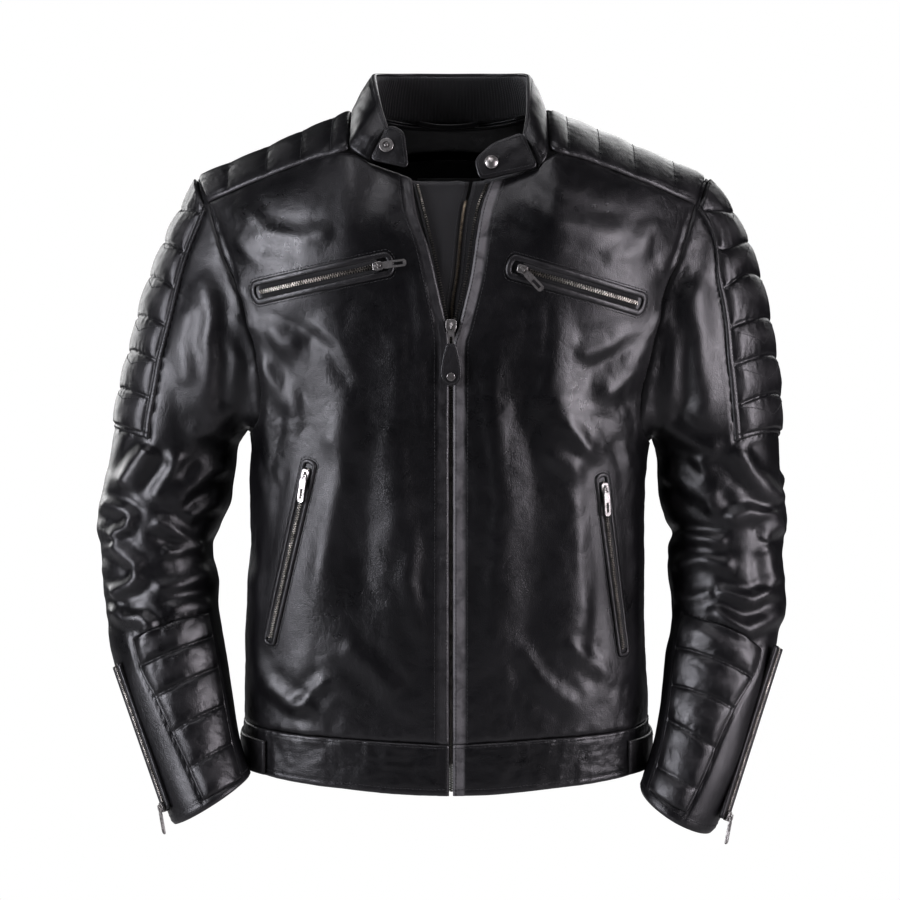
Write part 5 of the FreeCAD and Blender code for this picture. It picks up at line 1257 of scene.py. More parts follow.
# shoulders: quilted across in channels
YSEAM = {-1: (92, 108, 136, 169, 206, 236), 1: (92, 110, 139, 172, 210, 240)}
for side, nm in ((1, "left"), (-1, "right")):
    nu, nv = 74, 92
    P, N, X = yoke_grid(side, 0.12, nu, nv)
    cu, cr, cv, ct = edge_dist(P)
    sm = YSEAM[side]
    k = np.clip(np.searchsorted(sm, X, side="right") - 1, 0, len(sm) - 2)
    lo_, hi_ = np.array(sm)[k], np.array(sm)[k + 1]
    t = np.clip((X - lo_) / (hi_ - lo_), 0, 1)
    rim = smooth(np.minimum(cv, ct) / 9.0)
    puff = 1.5 * np.sin(math.pi * t) ** 0.6 * (0.35 + 0.65 * rim)
    h = puff + 0.5 * drape(P, N) * rim + np.exp(-np.minimum(X - lo_, hi_ - X) / 6.0) * fret(P, 5.0, 0.55)
    h += tuck(cu, 3.5, 1.6) + tuck(cr, 4.0, 2.0) + tuck(cv, 1.8, 1.5) + tuck(ct, 1.8, 1.5) + 0.35
    h += groove(cv, 3.0, 1.0, 0.45) + groove(ct, 3.0, 1.0, 0.45)
    O = P + N * h[..., None]
    NO = grid_normals(O, N)
    o = thick_sheet("shoulder_" + nm, O, P - N * 2.4 + N * np.minimum(h, 0)[..., None], N, M_PAD,
                    attrs={"wear": 0.25 * np.exp(-np.minimum(cv, ct) / 2.0) + 0.1 * np.sin(math.pi * t)})
    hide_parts("yoke_" + nm)
    g = "stitches_shoulder_" + nm
    stitch(g, *row(O, NO, cv, 3.0, 1))
    stitch(g, *row(O, NO, ct, 3.0, 1))
    for x in sm[1:-1]:
        p_, n_ = [], []
        for j in range(2, nv - 2):
            if X[0, j] < x < X[-1, j] - 4:
                p_.append([np.interp(x, X[:, j], O[:, j, c]) for c in range(3)])
                n_.append([np.interp(x, X[:, j], NO[:, j, c]) for c in range(3)])
        stitch(g, p_, n_)

# yoke across the back below the collar
nu, nv = 84, 26
x = np.linspace(-YOKE_X + 0.12, YOKE_X - 0.12, nu)[:, None]
t = abs(x) / (YOKE_X - 2.0)
zt, zb = NECK_B(abs(x)) + 0.9, lerp(BACK_NECK_Z, float(YOKE_B(YOKE_X - 2)), np.minimum(t, 1) ** 3) + 0.12
z = lerp(zb, zt, np.linspace(0, 1, nv)[None])
a = -yoke_angle(x, z, False)
P, N = yoke_point(x + 0 * z, a), yoke_n(x + 0 * z, a)
cu, cr, cv, ct = edge_dist(P)
h = 0.4 + 0.5 * drape(P, N) + tuck(cu, 3.5, 1.6) + tuck(cr, 3.5, 1.6) + tuck(cv, 1.8, 1.5) + tuck(ct, 3, 1.6) + groove(cv, 3.0, 1.0, 0.45)
O = P + N * h[..., None]
NO = grid_normals(O, N)
o = thick_sheet("yoke_back_panel", O, O - N * 2.4, N, M_LEATHER, attrs={"wear": 0.2 * np.exp(-cv / 2.0)})
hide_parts("yoke_back")
stitch("stitches_back", *row(O, NO, cv, 3.0, 1))

# hem bands
for nm, a0, a1, nu in (("left", float(psi(3.7, -600)), HALF - 0.002, 130), ("right", float(psi(0.1, -600)), -(HALF - 0.002), 130),
                       ("back", HALF + 0.002, 3 * HALF - 0.002, 236)):
    nv = 30
    a = np.linspace(a0, a1, nu)
    aa = np.where(a <= math.pi, a, 2 * math.pi - a)
    deg = abs(np.degrees(aa))
    z = lerp(HEM_EDGE(deg)[:, None], HEM_SEAM(deg)[:, None] - 0.12, np.linspace(0, 1, nv)[None])
    A = a[:, None] + 0 * z
    P, N = body(A, z), body_n(A, z)
    cu, cr, cv, ct = edge_dist(P)
    h = 0.55 + 0.7 * drape(P, N) * smooth((cu - 3) / 30) + 1.0 * (crease(P / np.array([13.0, 13.0, 30.0]), 71) - 0.2) + 0.7 * (crease(P / np.array([22.0, 22.0, 9.0]), 72) - 0.2)
    h += tuck(cv, 2.6, 1.9) + tuck(ct, 1.6, 1.2) + tuck(cu, 2.0, 1.4) + tuck(cr, 3.0, 1.6)
    h += groove(ct, 2.8, 0.9, 0.5) + groove(cv, 6.0, 1.0, 0.45)
    h += np.exp(-ct / 6.0) * fret(P, 6.0, 0.7)
    if nm != "back":
        h += groove(cu, 10.4, 0.9, 0.6)
        st_ = 1 - smooth((cu - 9.6) / 1.6)
        h = h * (1 - st_) + (np.minimum(h, 0.0) * 0.4 - 0.45) * st_
    O = P + N * h[..., None]
    NO = grid_normals(O, N)
    I = P + N * (-3.5 - 0.4 * tuck(cv, 2.6, 1.9) - 0.2)[..., None]
    st = 1 - smooth((cu - 9.6) / 1.6)
    wear = 0.35 * np.exp(-cv / 2.5) + 0.15 * np.exp(-ct / 2) + ((0.95 * st) if nm == "left" else 0)
    o = thick_sheet("hem_band_%s_cover" % nm, O, I, N, M_LEATHER, attrs={"wear": wear})
    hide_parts("hem_band_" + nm)
    g = "stitches_hem"
    stitch(g, *row(O, NO, ct, 2.8, 1))
    stitch(g, *row(O, NO, cv, 6.0, 1))
    if nm != "back":
        stitch(g, *row(O, NO, cu, 2.6, 0))

# ================================================================ sleeves
def fore_zone(side, ph, s):
    return FORE_OUT[side](s), FORE_IN + 0 * s


def pad_dist(side, ph, s):
    """Signed distances in millimetres inside the upper arm pad and inside the forearm pad."""
    c, el, fd, b = ring(side, s)
    R = (np.linalg.norm(el, axis=-1) + np.linalg.norm(fd, axis=-1)) / 2 * math.pi / 180
    ph = (ph + 180.0) % 360.0 - 180.0
    pf = PAD_FRONT[side](s)
    w = np.clip(ph / pf, 0, 1)
    e_out, e_in = PAD_END[side]
    s_end = lerp(e_out, e_in, w)
    d1 = np.minimum(np.minimum((pf - ph) * R, (ph - PAD_BACK) * R), np.minimum((s - 0.12) * 33, (s_end - s) * 36))
    fo = FORE_OUT[side](s)
    seams = FORE_SEAMS[side]
    w2 = np.clip((ph - fo) / (FORE_IN - fo), 0, 1)
    st = lerp(seams[0][0], seams[1][0], w2)
    d2 = np.minimum(np.minimum((ph - fo) * R, (FORE_IN - ph) * R), np.minimum((s - st) * 31, (18.8 - s) * 33))
    return d1, d2


def sleeve_height(side, ph, s, P, N):
    h = drape(P, N, arm=1.0)
    cm = calm(P, ("cuff",), 11.0, 26.0)
    return np.clip(h * (0.12 + 0.88 * cm) * smooth((19.05 - s) / 1.1) * (0.3 + 0.7 * smooth(s / 1.2)), -6, 9)


for side, nm in ((1, "left"), (-1, "right")):
    nu, nv = 181, 262
    ph = np.linspace(0, 360, nu)[:, None] + 180.0
    s = np.linspace(0.01, LAST, nv)[None]
    PH, S = np.broadcast_arrays(ph, s)
    P = sleeve(side, PH, S)
    N = sleeve_n(side, PH, S)
    _, _, cv, ct = edge_dist(P)
    h = sleeve_height(side, PH, S, P, N)
    d1, d2 = pad_dist(side, PH, S)
    soft = 1 - 0.55 * smooth(d1 / 8.0) - 0.4 * smooth(d2 / 8.0)
    h = h * soft
    h -= 3.6 * smooth(d1 / 3.0) + 3.6 * smooth(d2 / 3.0)
    for d in (d1, d2):
        h += np.where(d < 0, -1.3 * np.exp(-(d / 2.2) ** 2), 0)
    h += tuck(cv, 4.5, 2.0) + tuck(ct, 2.4, 1.7) + groove(ct, 8.5, 1.0, 0.5)
    h += np.exp(-cv / 10.0) * fret(P, 8.0, 0.9)
    # underarm seam
    dseam = np.minimum(PH - 180, 540 - PH) * 1.0
    h -= 1.1 * np.exp(-(dseam / 2.2) ** 2)
    O = P + N * h[..., None]
    O[-1] = O[0]
    NO = grid_normals(O, N, closed=True)
    I = O - N * 2.0
    wear = 0.3 * np.exp(-ct / 2.5) + 0.12 * smooth((h - 2.0) / 3.5)
    o = thick_sheet("sleeve_%s_leather" % nm, O, I, N, M_LEATHER, closed=True, attrs={"wear": wear})
    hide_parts("sleeve_front_" + nm, "sleeve_back_" + nm)
    stitch("stitches_sleeve_" + nm, *row(O, NO, ct, 8.5, 1))

    # upper arm pad
    nu, nv = 112, 236
    w = np.linspace(0, 1, nu)[:, None]
    q = np.linspace(0, 1, nv)[None]
    PHF = 60.0
    S = q * (PAD_END[side][0] - 0.12) + 0.12 + 0 * w
    for _ in range(4):
        pf = PAD_FRONT[side](S)
        ph = lerp(PAD_BACK, pf, w)
        we = np.clip(ph / pf, 0, 1)
        S = lerp(0.12, lerp(PAD_END[side][0], PAD_END[side][1], we), q)
    P, N = sleeve(side, ph, S), sleeve_n(side, ph, S)
    cu, cr, cv, ct = edge_dist(P)
    outer, inner = (np.array(k) for k in PAD_SEAMS[side])
    bounds_ = np.stack([lerp(a_, b_, we) for a_, b_ in zip(outer, inner)], -1)
    kk = np.clip((S[..., None] >= bounds_).sum(-1) - 1, 0, len(outer) - 2)
    lo_ = np.take_along_axis(bounds_, kk[..., None], -1)[..., 0]
    hi_ = np.take_along_axis(bounds_, kk[..., None] + 1, -1)[..., 0]
    t = np.clip((S - lo_) / (hi_ - lo_), 0, 1)
    bw = 6.0
    inb = smooth((np.minimum(cr, cu) - bw) / 2.5) * smooth((ct - 4.5) / 2.5)
    base_h = sleeve_height(side, ph, S, P, N) * 0.45
    dl = np.minimum(S - lo_, hi_ - S) * 33
    amp = 2.7 + 0.6 * noise(P / 30.0, 81)
    puff = amp * np.maximum(np.sin(math.pi * t), 0) ** 0.5 * smooth((np.minimum(cr, cu) - bw) / 12.0) ** 0.6 * inb
    pucker = np.exp(-dl / 7.0) * inb * 1.1 * (crease(P / np.array([7.0, 7.0, 22.0]), 82) - 0.25)
    tired = inb * 0.4 * (crease(P / np.array([18.0, 18.0, 12.0]), 83) - 0.2) * smooth(dl / 6)
    h = base_h + 0.9 + puff + pucker + tired - 0.9 * inb * np.exp(-(dl / 1.5) ** 2)
    h += tuck(cu, 2.2, 2.2) + tuck(cr, 2.2, 2.2) + tuck(cv, 3, 2.2) + tuck(ct, 2.2, 2.2)
    h += groove(np.minimum(cr, cu), bw + 0.6, 1.1, 0.9) + groove(np.minimum(cr, cu), 2.4, 0.8, 0.3) + groove(ct, 5.0, 1.0, 0.6)
    O = P + N * h[..., None]
    NO = grid_normals(O, N)
    I = P + N * (base_h - 3.2)[..., None]
    wear = 0.28 * np.exp(-np.minimum(cr, cu) / 2.0) + 0.18 * np.maximum(np.sin(math.pi * t), 0) ** 3 * inb
    o = thick_sheet("arm_pad_" + nm, O, I, N, M_PAD, attrs={"wear": wear})
    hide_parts("upper_arm_pad_" + nm)
    g = "stitches_pads_" + nm
    for D in (cu, cr):
        stitch(g, *row(O, NO, D, 2.4, 0))
        stitch(g, *row(O, NO, D, bw + 0.6, 0))
    stitch(g, *row(O, NO, ct, 2.4, 1))
    stitch(g, *row(O, NO, ct, 5.4, 1))
    for m in range(1, len(outer) - 1):
        p_, n_ = [], []
        for i in range(nu):
            b_ = bounds_[i, 0, m]
            if min(cu[i, 0], cr[i, 0]) > bw + 1 and S[i, 0] + 0.1 < b_ < S[i, -1] - 0.15:
                p_.append([np.interp(b_, S[i], O[i, :, c]) for c in range(3)])
                n_.append([np.interp(b_, S[i], NO[i, :, c]) for c in range(3)])
        stitch(g, p_, n_)

    # forearm pad
    nu, nv = 80, 150
    seams = [np.array(k) for k in FORE_SEAMS[side]]
    w = np.linspace(0, 1, nu)[:, None]
    q = np.linspace(0, 1, nv)[None]
    s0 = lerp(seams[0][0], seams[1][0], w)
    S = lerp(s0, 18.78, q)
    ph = lerp(FORE_OUT[side](S), FORE_IN, w)
    P, N = sleeve(side, ph, S), sleeve_n(side, ph, S)
    cu, cr, cv, ct = edge_dist(P)
    bounds_ = np.stack([lerp(a_, b_, w) + 0 * q for a_, b_ in zip(*seams)], -1)
    kk = np.clip((S[..., None] >= bounds_ - 1e-6).sum(-1) - 1, 0, len(seams[0]) - 2)
    lo_ = np.take_along_axis(bounds_, kk[..., None], -1)[..., 0]
    hi_ = np.take_along_axis(bounds_, kk[..., None] + 1, -1)[..., 0]
    t = np.clip((S - lo_) / (hi_ - lo_), 0, 1)
    base_h = sleeve_height(side, ph, S, P, N) * 0.55
    dl = np.minimum(S - lo_, hi_ - S) * 31
    rim = smooth((np.minimum(cu, cr) - 2.5) / 9.0) ** 0.7
    puff = (2.9 + 0.6 * noise(P / 26.0, 84)) * np.maximum(np.sin(math.pi * t), 0) ** 0.5 * (0.15 + 0.85 * rim)
    pucker = np.exp(-dl / 7.0) * 1.2 * (crease(P / np.array([8.0, 8.0, 18.0]), 85) - 0.25) + 1.1 * (crease(P / np.array([16.0, 16.0, 13.0]), 86) - 0.2)
    h = base_h + 0.7 + puff - 0.9 * np.exp(-(dl / 1.5) ** 2) + 0.8 * pucker * rim + tuck(cu, 2.2, 2.4) + tuck(cr, 3.0, 2.4) + tuck(cv, 3, 2.4) + tuck(ct, 2.4, 2.2)
    h += groove(cu, 3.0, 0.9, 0.5)
    O = P + N * h[..., None]
    NO = grid_normals(O, N)
    I = P + N * (base_h - 3.2)[..., None]
    wear = 0.3 * np.exp(-np.minimum(cu, ct) / 2.0) + 0.16 * np.maximum(np.sin(math.pi * t), 0) ** 3
    o = thick_sheet("cuff_pad_" + nm, O, I, N, M_PAD, attrs={"wear": wear})
    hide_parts("forearm_pad_" + nm)
    stitch(g, *row(O, NO, cu, 3.0, 0))
    for m in range(1, len(seams[0]) - 1):
        p_, n_ = [], []
        for i in range(4, nu - 2):
            b_ = bounds_[i, 0, m]
            p_.append([np.interp(b_, S[i], O[i, :, c]) for c in range(3)])
            n_.append([np.interp(b_, S[i], NO[i, :, c]) for c in range(3)])
        stitch(g, p_, n_)

# ================================================================ lining
for side, nm in ((1, "left"), (-1, "right")):
    nu, nv = 62, 120
    zt = -47.0
    lf = []
    for k in range(41):
        z = lerp(-590.0, zt, k / 40.0)
        lf.append((float(psi(float(INNER(z)) + side * 1.6, z)), z))
    rt = side_curve(side, True, -590.0, float(YOKE_F(226)) - 18, 5.0)
    bt = [(lerp(lf[0][0], rt[0][0], k / 20.0), -590.0) for k in range(21)]
    xt, xe = body(*lf[-1])[0], body(*rt[-1])[0]
    tp = [lf[-1]]
    for k in range(1, 20):
        x = lerp(xt, xe, k / 20.0)
        ax = abs(x)
        zl = zt if ax < 30 else (lerp(zt, -30.0, (ax - 30) / 60.0) if ax < 90 else float(YOKE_F(ax)) - lerp(9.0, 18.0, (ax - 90) / 136.0))
        tp.append((float(psi(x, zl)), zl))
    tp.append(rt[-1])
    dom = coons(line(lf), line(rt), line(bt), line(tp), nu, nv)
    P, N = body(dom[..., 0], dom[..., 1]), body_n(dom[..., 0], dom[..., 1])
    cu, cr, cv, ct = edge_dist(P)
    h = 0.8 * noise(P / np.array([22.0, 22.0, 60.0]), 91) * smooth(cu / 10) - 0.35 * (1 - smooth((cu - 7) / 1.5)) + groove(cu, 8.5, 0.9, 0.5)
    h += 1.3 * np.exp(-((cu - 11.5) / 2.6) ** 2) * smooth((P[..., 2] + 230) / 30)
    O = P + N * (h - LINER_IN)[..., None]
    I = P + N * (h - LINER_IN - LINER_T)[..., None]
    o = thick_sheet("lining_front_%s_cloth" % nm, O, I, N, M_LINING)
    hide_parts("lining_front_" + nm)
    stitch("stitches_lining", *row(O, grid_normals(O, N), cu, 3.4, 0))

nu, nv = 130, 110
zc = float(YOKE_B(226)) - 16
r = side_curve(1, False, -590.0, zc, 5.0)
l = [(2 * math.pi + p[0], p[1]) for p in side_curve(-1, False, -590.0, zc, 5.0)]
bt = [(lerp(r[0][0], l[0][0], k / 30.0), -590.0) for k in range(31)]
xr = abs(body(*r[-1])[0])
tp = [r[-1]]
for k in range(1, 40):
    x = lerp(xr, -xr, k / 40.0)
    ax = abs(x)
    z = lerp(-26.0, -40.0, (ax / 88.0) ** 2) if ax < 88 else float(YOKE_B(ax)) + lerp(10.0, -16.0, (ax - 88) / (xr - 88.0))
    a = float(psi(ax, z, False))
    tp.append((a if x >= 0 else 2 * math.pi - a, z))
tp.append(l[-1])
dom = coons(line(r), line(l), line(bt), line(tp), nu, nv)
P, N = body(dom[..., 0], dom[..., 1]), body_n(dom[..., 0], dom[..., 1])
cu, cr, cv, ct = edge_dist(P)
h = (0.9 * noise(P / np.array([30.0, 30.0, 70.0]), 92) + 0.4 * noise(P / np.array([14.0, 14.0, 30.0]), 93)) * smooth(ct / 12)
h += -0.8 * np.exp(-(P[..., 0] / 2.0) ** 2)
O = P + N * (h - LINER_IN)[..., None]
o = thick_sheet("lining_back_cloth", O, O - N * LINER_T, N, M_LINING)
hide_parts("lining_back")

for side, nm in ((1, "left"), (-1, "right")):
    nu, nv = 97, 110
    ph = np.linspace(0, 360, nu)[:, None]
    s = np.linspace(2.0, LAST - 0.6, nv)[None]
    PH, S = np.broadcast_arrays(ph, s)
    P, C = 0, 0
    for d_, w_ in ((-0.8, 0.25), (0.0, 0.5), (0.8, 0.25)):
        q = np.clip(S + d_, 0.6, LAST - 0.02)
        P = P + sleeve(side, PH, q) * w_
        C = C + ring(side, q)[0] * w_
    R = P - C
    u_ = unit(R)
    h = 12.5 - 0.9 * noise(P / np.array([18.0, 18.0, 50.0]), 94)
    O = P - u_ * h[..., None]
    O[-1] = O[0]
    o = thick_sheet("lining_sleeve_" + nm, O, O - u_ * LINER_T, u_, M_LINING, closed=True)
    if side > 0:
        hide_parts("sleeve_linings")

# inner zip down the lining's front
def zip_line(fx, z0, z1, n, d):
    z = np.linspace(z0, z1, n)
    x = fx(z)
    a = psi(x, z)
    return body(a, z) + body_n(a, z) * d, body_n(a, z)


TOOTH_V = np.array([(-.5, -.5, 0), (.5, -.5, 0), (.5, .5, 0), (-.5, .5, 0), (-.38, -.42, .8), (.38, -.42, .8), (.38, .42, .8), (-.38, .42, .8),
                    (-.22, -.3, 1), (.22, -.3, 1), (.22, .3, 1), (-.22, .3, 1)])
TOOTH_F = np.array([(3, 2, 1, 0), (0, 1, 5, 4), (1, 2, 6, 5), (2, 3, 7, 6), (3, 0, 4, 7), (4, 5, 9, 8), (5, 6, 10, 9), (6, 7, 11, 10), (7, 4, 8, 11), (8, 9, 10, 11)])


def teeth(path, nrm, pitch, size, offset, phase):
    """Zip teeth along a path: size is (along, across, high)."""
    p, t, n = resample(path, nrm, pitch, phase)
    c = np.cross(n, t)
    p = p + c * offset
    return stamp(TOOTH_V * np.array(size), TOOTH_F, p, t, n)


pi_, ni_ = zip_line(INNER, -586.0, -66.0, 400, -8.2)
parts = [(V, [F]) for V, F in (teeth(pi_, ni_, 2.0, (1.1, 2.0, 1.5), 0.5, 0.25), teeth(pi_, ni_, 2.0, (1.1, 2.0, 1.5), -0.5, 0.75))]
V, F = sweep(pi_ - ni_ * 0.3, ni_, oval(1.9, -0.35, 0.35, 8))
V2, F2 = merge(parts)
o = mesh("lining_zip_teeth", V2, F2, M_TEETH_DARK, flat=True)
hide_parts("lining_zip")
o = mesh("lining_zip_cord", V, F, M_TAPE)

# main zip: tapes and teeth
parts = []
for sd, fx in ((-1, TEETH_R), (1, TEETH_L)):
    z = np.linspace(-611.0, -53.0, 240)
    xs = np.linspace(0.6, 16.0, 9)
    X = fx(z)[:, None] + sd * xs[None]
    A = psi(X, z[:, None] + 0 * X)
    Z = z[:, None] + 0 * X
    n = body_n(A, Z)
    O = body(A, Z) - n * 5.2
    nu_, nv_ = O.shape[:2]
    F = shell_faces(nu_, nv_)
    V = np.concatenate([O.reshape(-1, 3), (O - n * 0.8).reshape(-1, 3)])
    parts.append((V, [F if sd < 0 else F[:, ::-1]]))
    # the cord that carries the teeth
    pz, nz = zip_line(lambda q: fx(q) + sd * 1.9, -611.0, -53.0, 240, -4.7)
    parts.append(sweep(pz, nz, oval(1.2, -0.6, 0.7, 8)))
V, F = merge(parts)
o = mesh("main_zip_tape", V, F, M_TAPE)
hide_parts("main_zip_tapes")
parts = []
for sd, fx, phs in ((-1, TEETH_R, 0.25), (1, TEETH_L, 0.75)):
    pz, nz = zip_line(fx, -611.0, -52.5, 500, -4.9)
    V, F = teeth(pz, nz, 2.3, (1.25, 2.7, 2.0), -sd * (-1.25 if True else 0), phs)
    parts.append((V, [F]))
V, F = merge(parts)
o = mesh("main_zip_teeth_row", V, F, M_TEETH, flat=True)
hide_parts("main_zip_teeth")

# ================================================================ pocket and cuff zips
def on_body(P):
    a = psi(P[..., 0], P[..., 2])
    return body(a, P[..., 2]), body_n(a, P[..., 2])


def zip_ring(kind, side, off, over, surface, lift):
    """Rounded loop round a zip on the leather."""
    pts, nn, cc = ZIPS[kind, side]
    L = np.linalg.norm(np.diff(pts, axis=0), axis=1).sum()
    t = unit(np.gradient(pts, axis=0))
    a, b = [], []
    e0, e1 = over
    s = np.linspace(-e0, L + e1, 90)
    d = np.linspace(0, L, len(pts))
    def at(s_, w_):
        k = np.clip(s_, 0, L)
        p = np.array([np.interp(k, d, pts[:, i]) for i in range(3)])
        tt = unit(np.array([np.interp(k, d, t[:, i]) for i in range(3)]))
        c = unit(np.array([np.interp(k, d, cc[:, i]) for i in range(3)]))
        n = np.array([np.interp(k, d, nn[:, i]) for i in range(3)])
        return p + tt * (s_ - k) + c * w_, unit(n)
    loop, nm_ = [], []
    seq = [(q, off(max(0, min(1, q / L)))) for q in s] + [(L + e1 + off(1) * 0.55 * math.sin(g), off(1) * math.cos(g)) for g in np.linspace(0.3, math.pi - 0.3, 9)]
    seq += [(q, -off(max(0, min(1, q / L)))) for q in s[::-1]] + [(-e0 - off(0) * 0.55 * math.sin(g), -off(0) * math.cos(g)) for g in np.linspace(0.3, math.pi - 0.3, 9)]
    for q, w_ in seq:
        p, n = at(q, w_)
        loop.append(p)
        nm_.append(n)
    loop, nm_ = np.array(loop), np.array(nm_)
    if surface is not None:
        p, n = surface(loop)
        return p + n * lift, n
    return loop + nm_ * lift, nm_


zip_teeth_parts = {"chest": [], "hand": [], "cuff": []}
zip_tape_parts = {"chest": [], "hand": [], "cuff": []}
welt_parts = {"chest": [], "hand": [], "cuff": []}
for (kind, side), (pts, nn, cc) in ZIPS.items():
    q = pts + nn * 0.15
    for ofs, phs in ((0.85, 0.25), (-0.85, 0.75)):
        V, F = teeth(q, nn, 2.3, (1.3, 2.7, 1.35), ofs, phs)
        zip_teeth_parts[kind].append((V, [F]))
    w = {"chest": 6.4, "hand": 5.2, "cuff": 6.0}[kind]
    zip_tape_parts[kind].append(sweep(pts - nn * 0.15, nn, oval(w, -0.55, 0.35, 10, 6)))
    if kind == "cuff":
        t = unit(pts[-1] - pts[0])
        for sg in (1, -1):
            rail = pts + cc * (sg * 6.6) - nn * 0.9
            welt_parts[kind].append(sweep(rail, nn, oval(3.0, -2.6, 2.1, 14)))
        continue
    wd = {"chest": (8.5, 2.9), "hand": (5.9, 2.1)}[kind]
    offf = (lambda u, k=kind: {"chest": 8.5, "hand": 6.3 - 1.3 * u}[k])
    lp, ln = zip_ring(kind, side, offf, (2.5, 7.5) if kind == "chest" else (3.0, 3.0), on_body, 0.0)
    ext = np.concatenate([lp, lp[:1]])
    lp2, _, ln2 = resample(np.concatenate([lp, lp[:1]]), np.concatenate([ln, ln[:1]]), 1.6, 0.0)
    V, F = sweep(lp2, ln2, oval(wd[1], -1.2, 2.3, 14), closed=True)
    V = V + 0.18 * noise(V / 6.0, 95)[:, None] * np.repeat(ln2, 14, 0)
    welt_parts[kind].append((V, F))
    sp, sn = zip_ring(kind, side, lambda u, f_=offf, k=kind: f_(u) + (4.6 if k == "chest" else 3.9), (4.0, 9.0) if kind == "chest" else (4.5, 4.5), on_body, 0.0)
    stitch("stitches_pockets", np.concatenate([sp, sp[:1]]), np.concatenate([sn, sn[:1]]), lift=0.35)
for kind, nodes_t, nodes_w in (("chest", "chest_zips", "chest_welts"), ("hand", "hand_zips", "hand_welts"), ("cuff", "cuff_zips", None)):
    V, F = merge(zip_teeth_parts[kind])
    o = mesh(kind + "_zip_teeth", V, F, M_TEETH, flat=True)
    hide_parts(nodes_t)
    V, F = merge(zip_tape_parts[kind])
    mesh(kind + "_zip_tape", V, F, M_TAPE)
    V, F = merge(welt_parts[kind])
    o = mesh(kind + "_piping", V, F, M_TRIM, attrs={"wear": np.full(len(V), 0.12)})
    if nodes_w:
        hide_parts(nodes_w)

# ================================================================ collar
nu, nv = 210, 34
t = np.linspace(0.0, 1.0, nu)[:, None]
v = np.linspace(-0.012, 1.0, nv)[None]
T, Vv = np.broadcast_arrays(t, v)
P, N = collar_point(T, Vv), collar_n(T, Vv)
cu, cr, cv, ct = edge_dist(P)
h = 0.9 * noise(P / np.array([28.0, 28.0, 20.0]), 101) + 0.7 * (crease(P / np.array([15.0, 15.0, 11.0]), 102) - 0.2)
h = h * smooth(np.minimum(ct, cv) / 8) + 0.6 + tuck(ct, 2.6, 1.6) + tuck(cv, 3.0, 1.6) + tuck(cu, 2.4, 1.5) + tuck(cr, 2.4, 1.5)
h += groove(ct, 4.2, 0.9, 0.5) + groove(np.minimum(cu, cr), 4.2, 0.9, 0.5)
O = P + N * h[..., None]
NO = grid_normals(O, N)
I = P - N * (2.4 - 0.3 * tuck(ct, 2.6, 1.6))[..., None]
o = thick_sheet("collar_leather", O, I, N, M_LEATHER, attrs={"wear": 0.35 * np.exp(-ct / 2.4) + 0.2 * np.exp(-np.minimum(cu, cr) / 2.4)})
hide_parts("collar_band")
stitch("stitches_collar", *row(O, NO, ct, 4.2, 1))
stitch("stitches_collar", *row(O, NO, cu, 4.2, 0))
stitch("stitches_collar", *row(O, NO, cr, 4.2, 0))

nu, nv = 640, 22
t = np.linspace(0.012, 0.988, nu)[:, None]
v = np.linspace(0.045, 0.95, nv)[None]
T, Vv = np.broadcast_arrays(t, v)
P, N = collar_point(T, Vv), collar_n(T, Vv)
arc = np.concatenate([[0], np.cumsum(np.linalg.norm(np.diff(P[:, nv // 2], axis=0), axis=1))])[:, None]
rib = 0.75 * abs(np.sin(math.pi * arc / 3.3)) ** 0.7
edge_r = np.sqrt(np.clip(1 - (abs(2 * (Vv - 0.045) / 0.905 - 1)) ** 8, 0, 1))
O = P + N * (-2.9 - 0.2 * (1 - edge_r))[..., None]
I = P + N * (-2.9 - (0.6 + 2.0 * edge_r) - rib * edge_r + 0.3 * noise(P / 9.0, 103))[..., None]
o = thick_sheet("collar_ribbing", O, I, N, M_KNIT)
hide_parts("collar_knit")

# collar tabs
TABQ = {-1: [(-72.5, -150.0, -33.5), (-36.0, -156.5, -41.5), (-40.5, -150.0, -6.5), (-55.0, -143.0, -0.5)],
        1: [(81.5, -156.0, -40.5), (27.5, -161.0, -52.0), (22.5, -156.0, -33.0), (67.0, -144.5, -8.0)]}
for side, nm in ((-1, "right"), (1, "left")):
    c = [np.array(p, float) for p in TABQ[side]]
    n = unit(np.cross(c[1] - c[0], c[3] - c[0]))
    n = -n if n[1] > 0 else n
    x = unit(c[1] - c[0])
    y = np.cross(n, x)
    poly = c if side < 0 else [c[0], c[1], c[2], np.array([39.5, -151.5, -17.0]), c[3]]
    flat2 = [((p - c[0]) @ x, (p - c[0]) @ y) for p in poly]
    out2 = rounded(flat2, 7.0)
    lift0 = max(0.0, max((p - c[0]) @ n for p in poly))
    V, F = plate(out2, 0.1, 3.1, c[0], x, y, n, r=1.2, dome=0.9, inner=9)
    V = V + n * (0.35 * noise(V / 11.0, 104))[:, None]
    rides = "collar_tab_" + nm
    o = mesh("collar_tab_%s_leather" % nm, V, F, M_TRIM, rides=rides, attrs={"wear": np.full(len(V), 0.05)})
    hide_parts("collar_tab_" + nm)
    d = np.roll(out2, -1, 0) - np.roll(out2, 1, 0)
    inn = unit(np.stack([-d[:, 1], d[:, 0]], -1))
    if (dot(inn, out2.mean(0) - out2) < 0).mean() > 0.5:
        inn = -inn
    q2 = out2 + inn * 3.0
    path = c[0] + q2[:, :1] * x + q2[:, 1:] * y + n * 3.3
    stitch("stitches_tab_" + nm, np.concatenate([path, path[:1]]), np.repeat(n[None], len(path) + 1, 0), 3.1, 0.1)

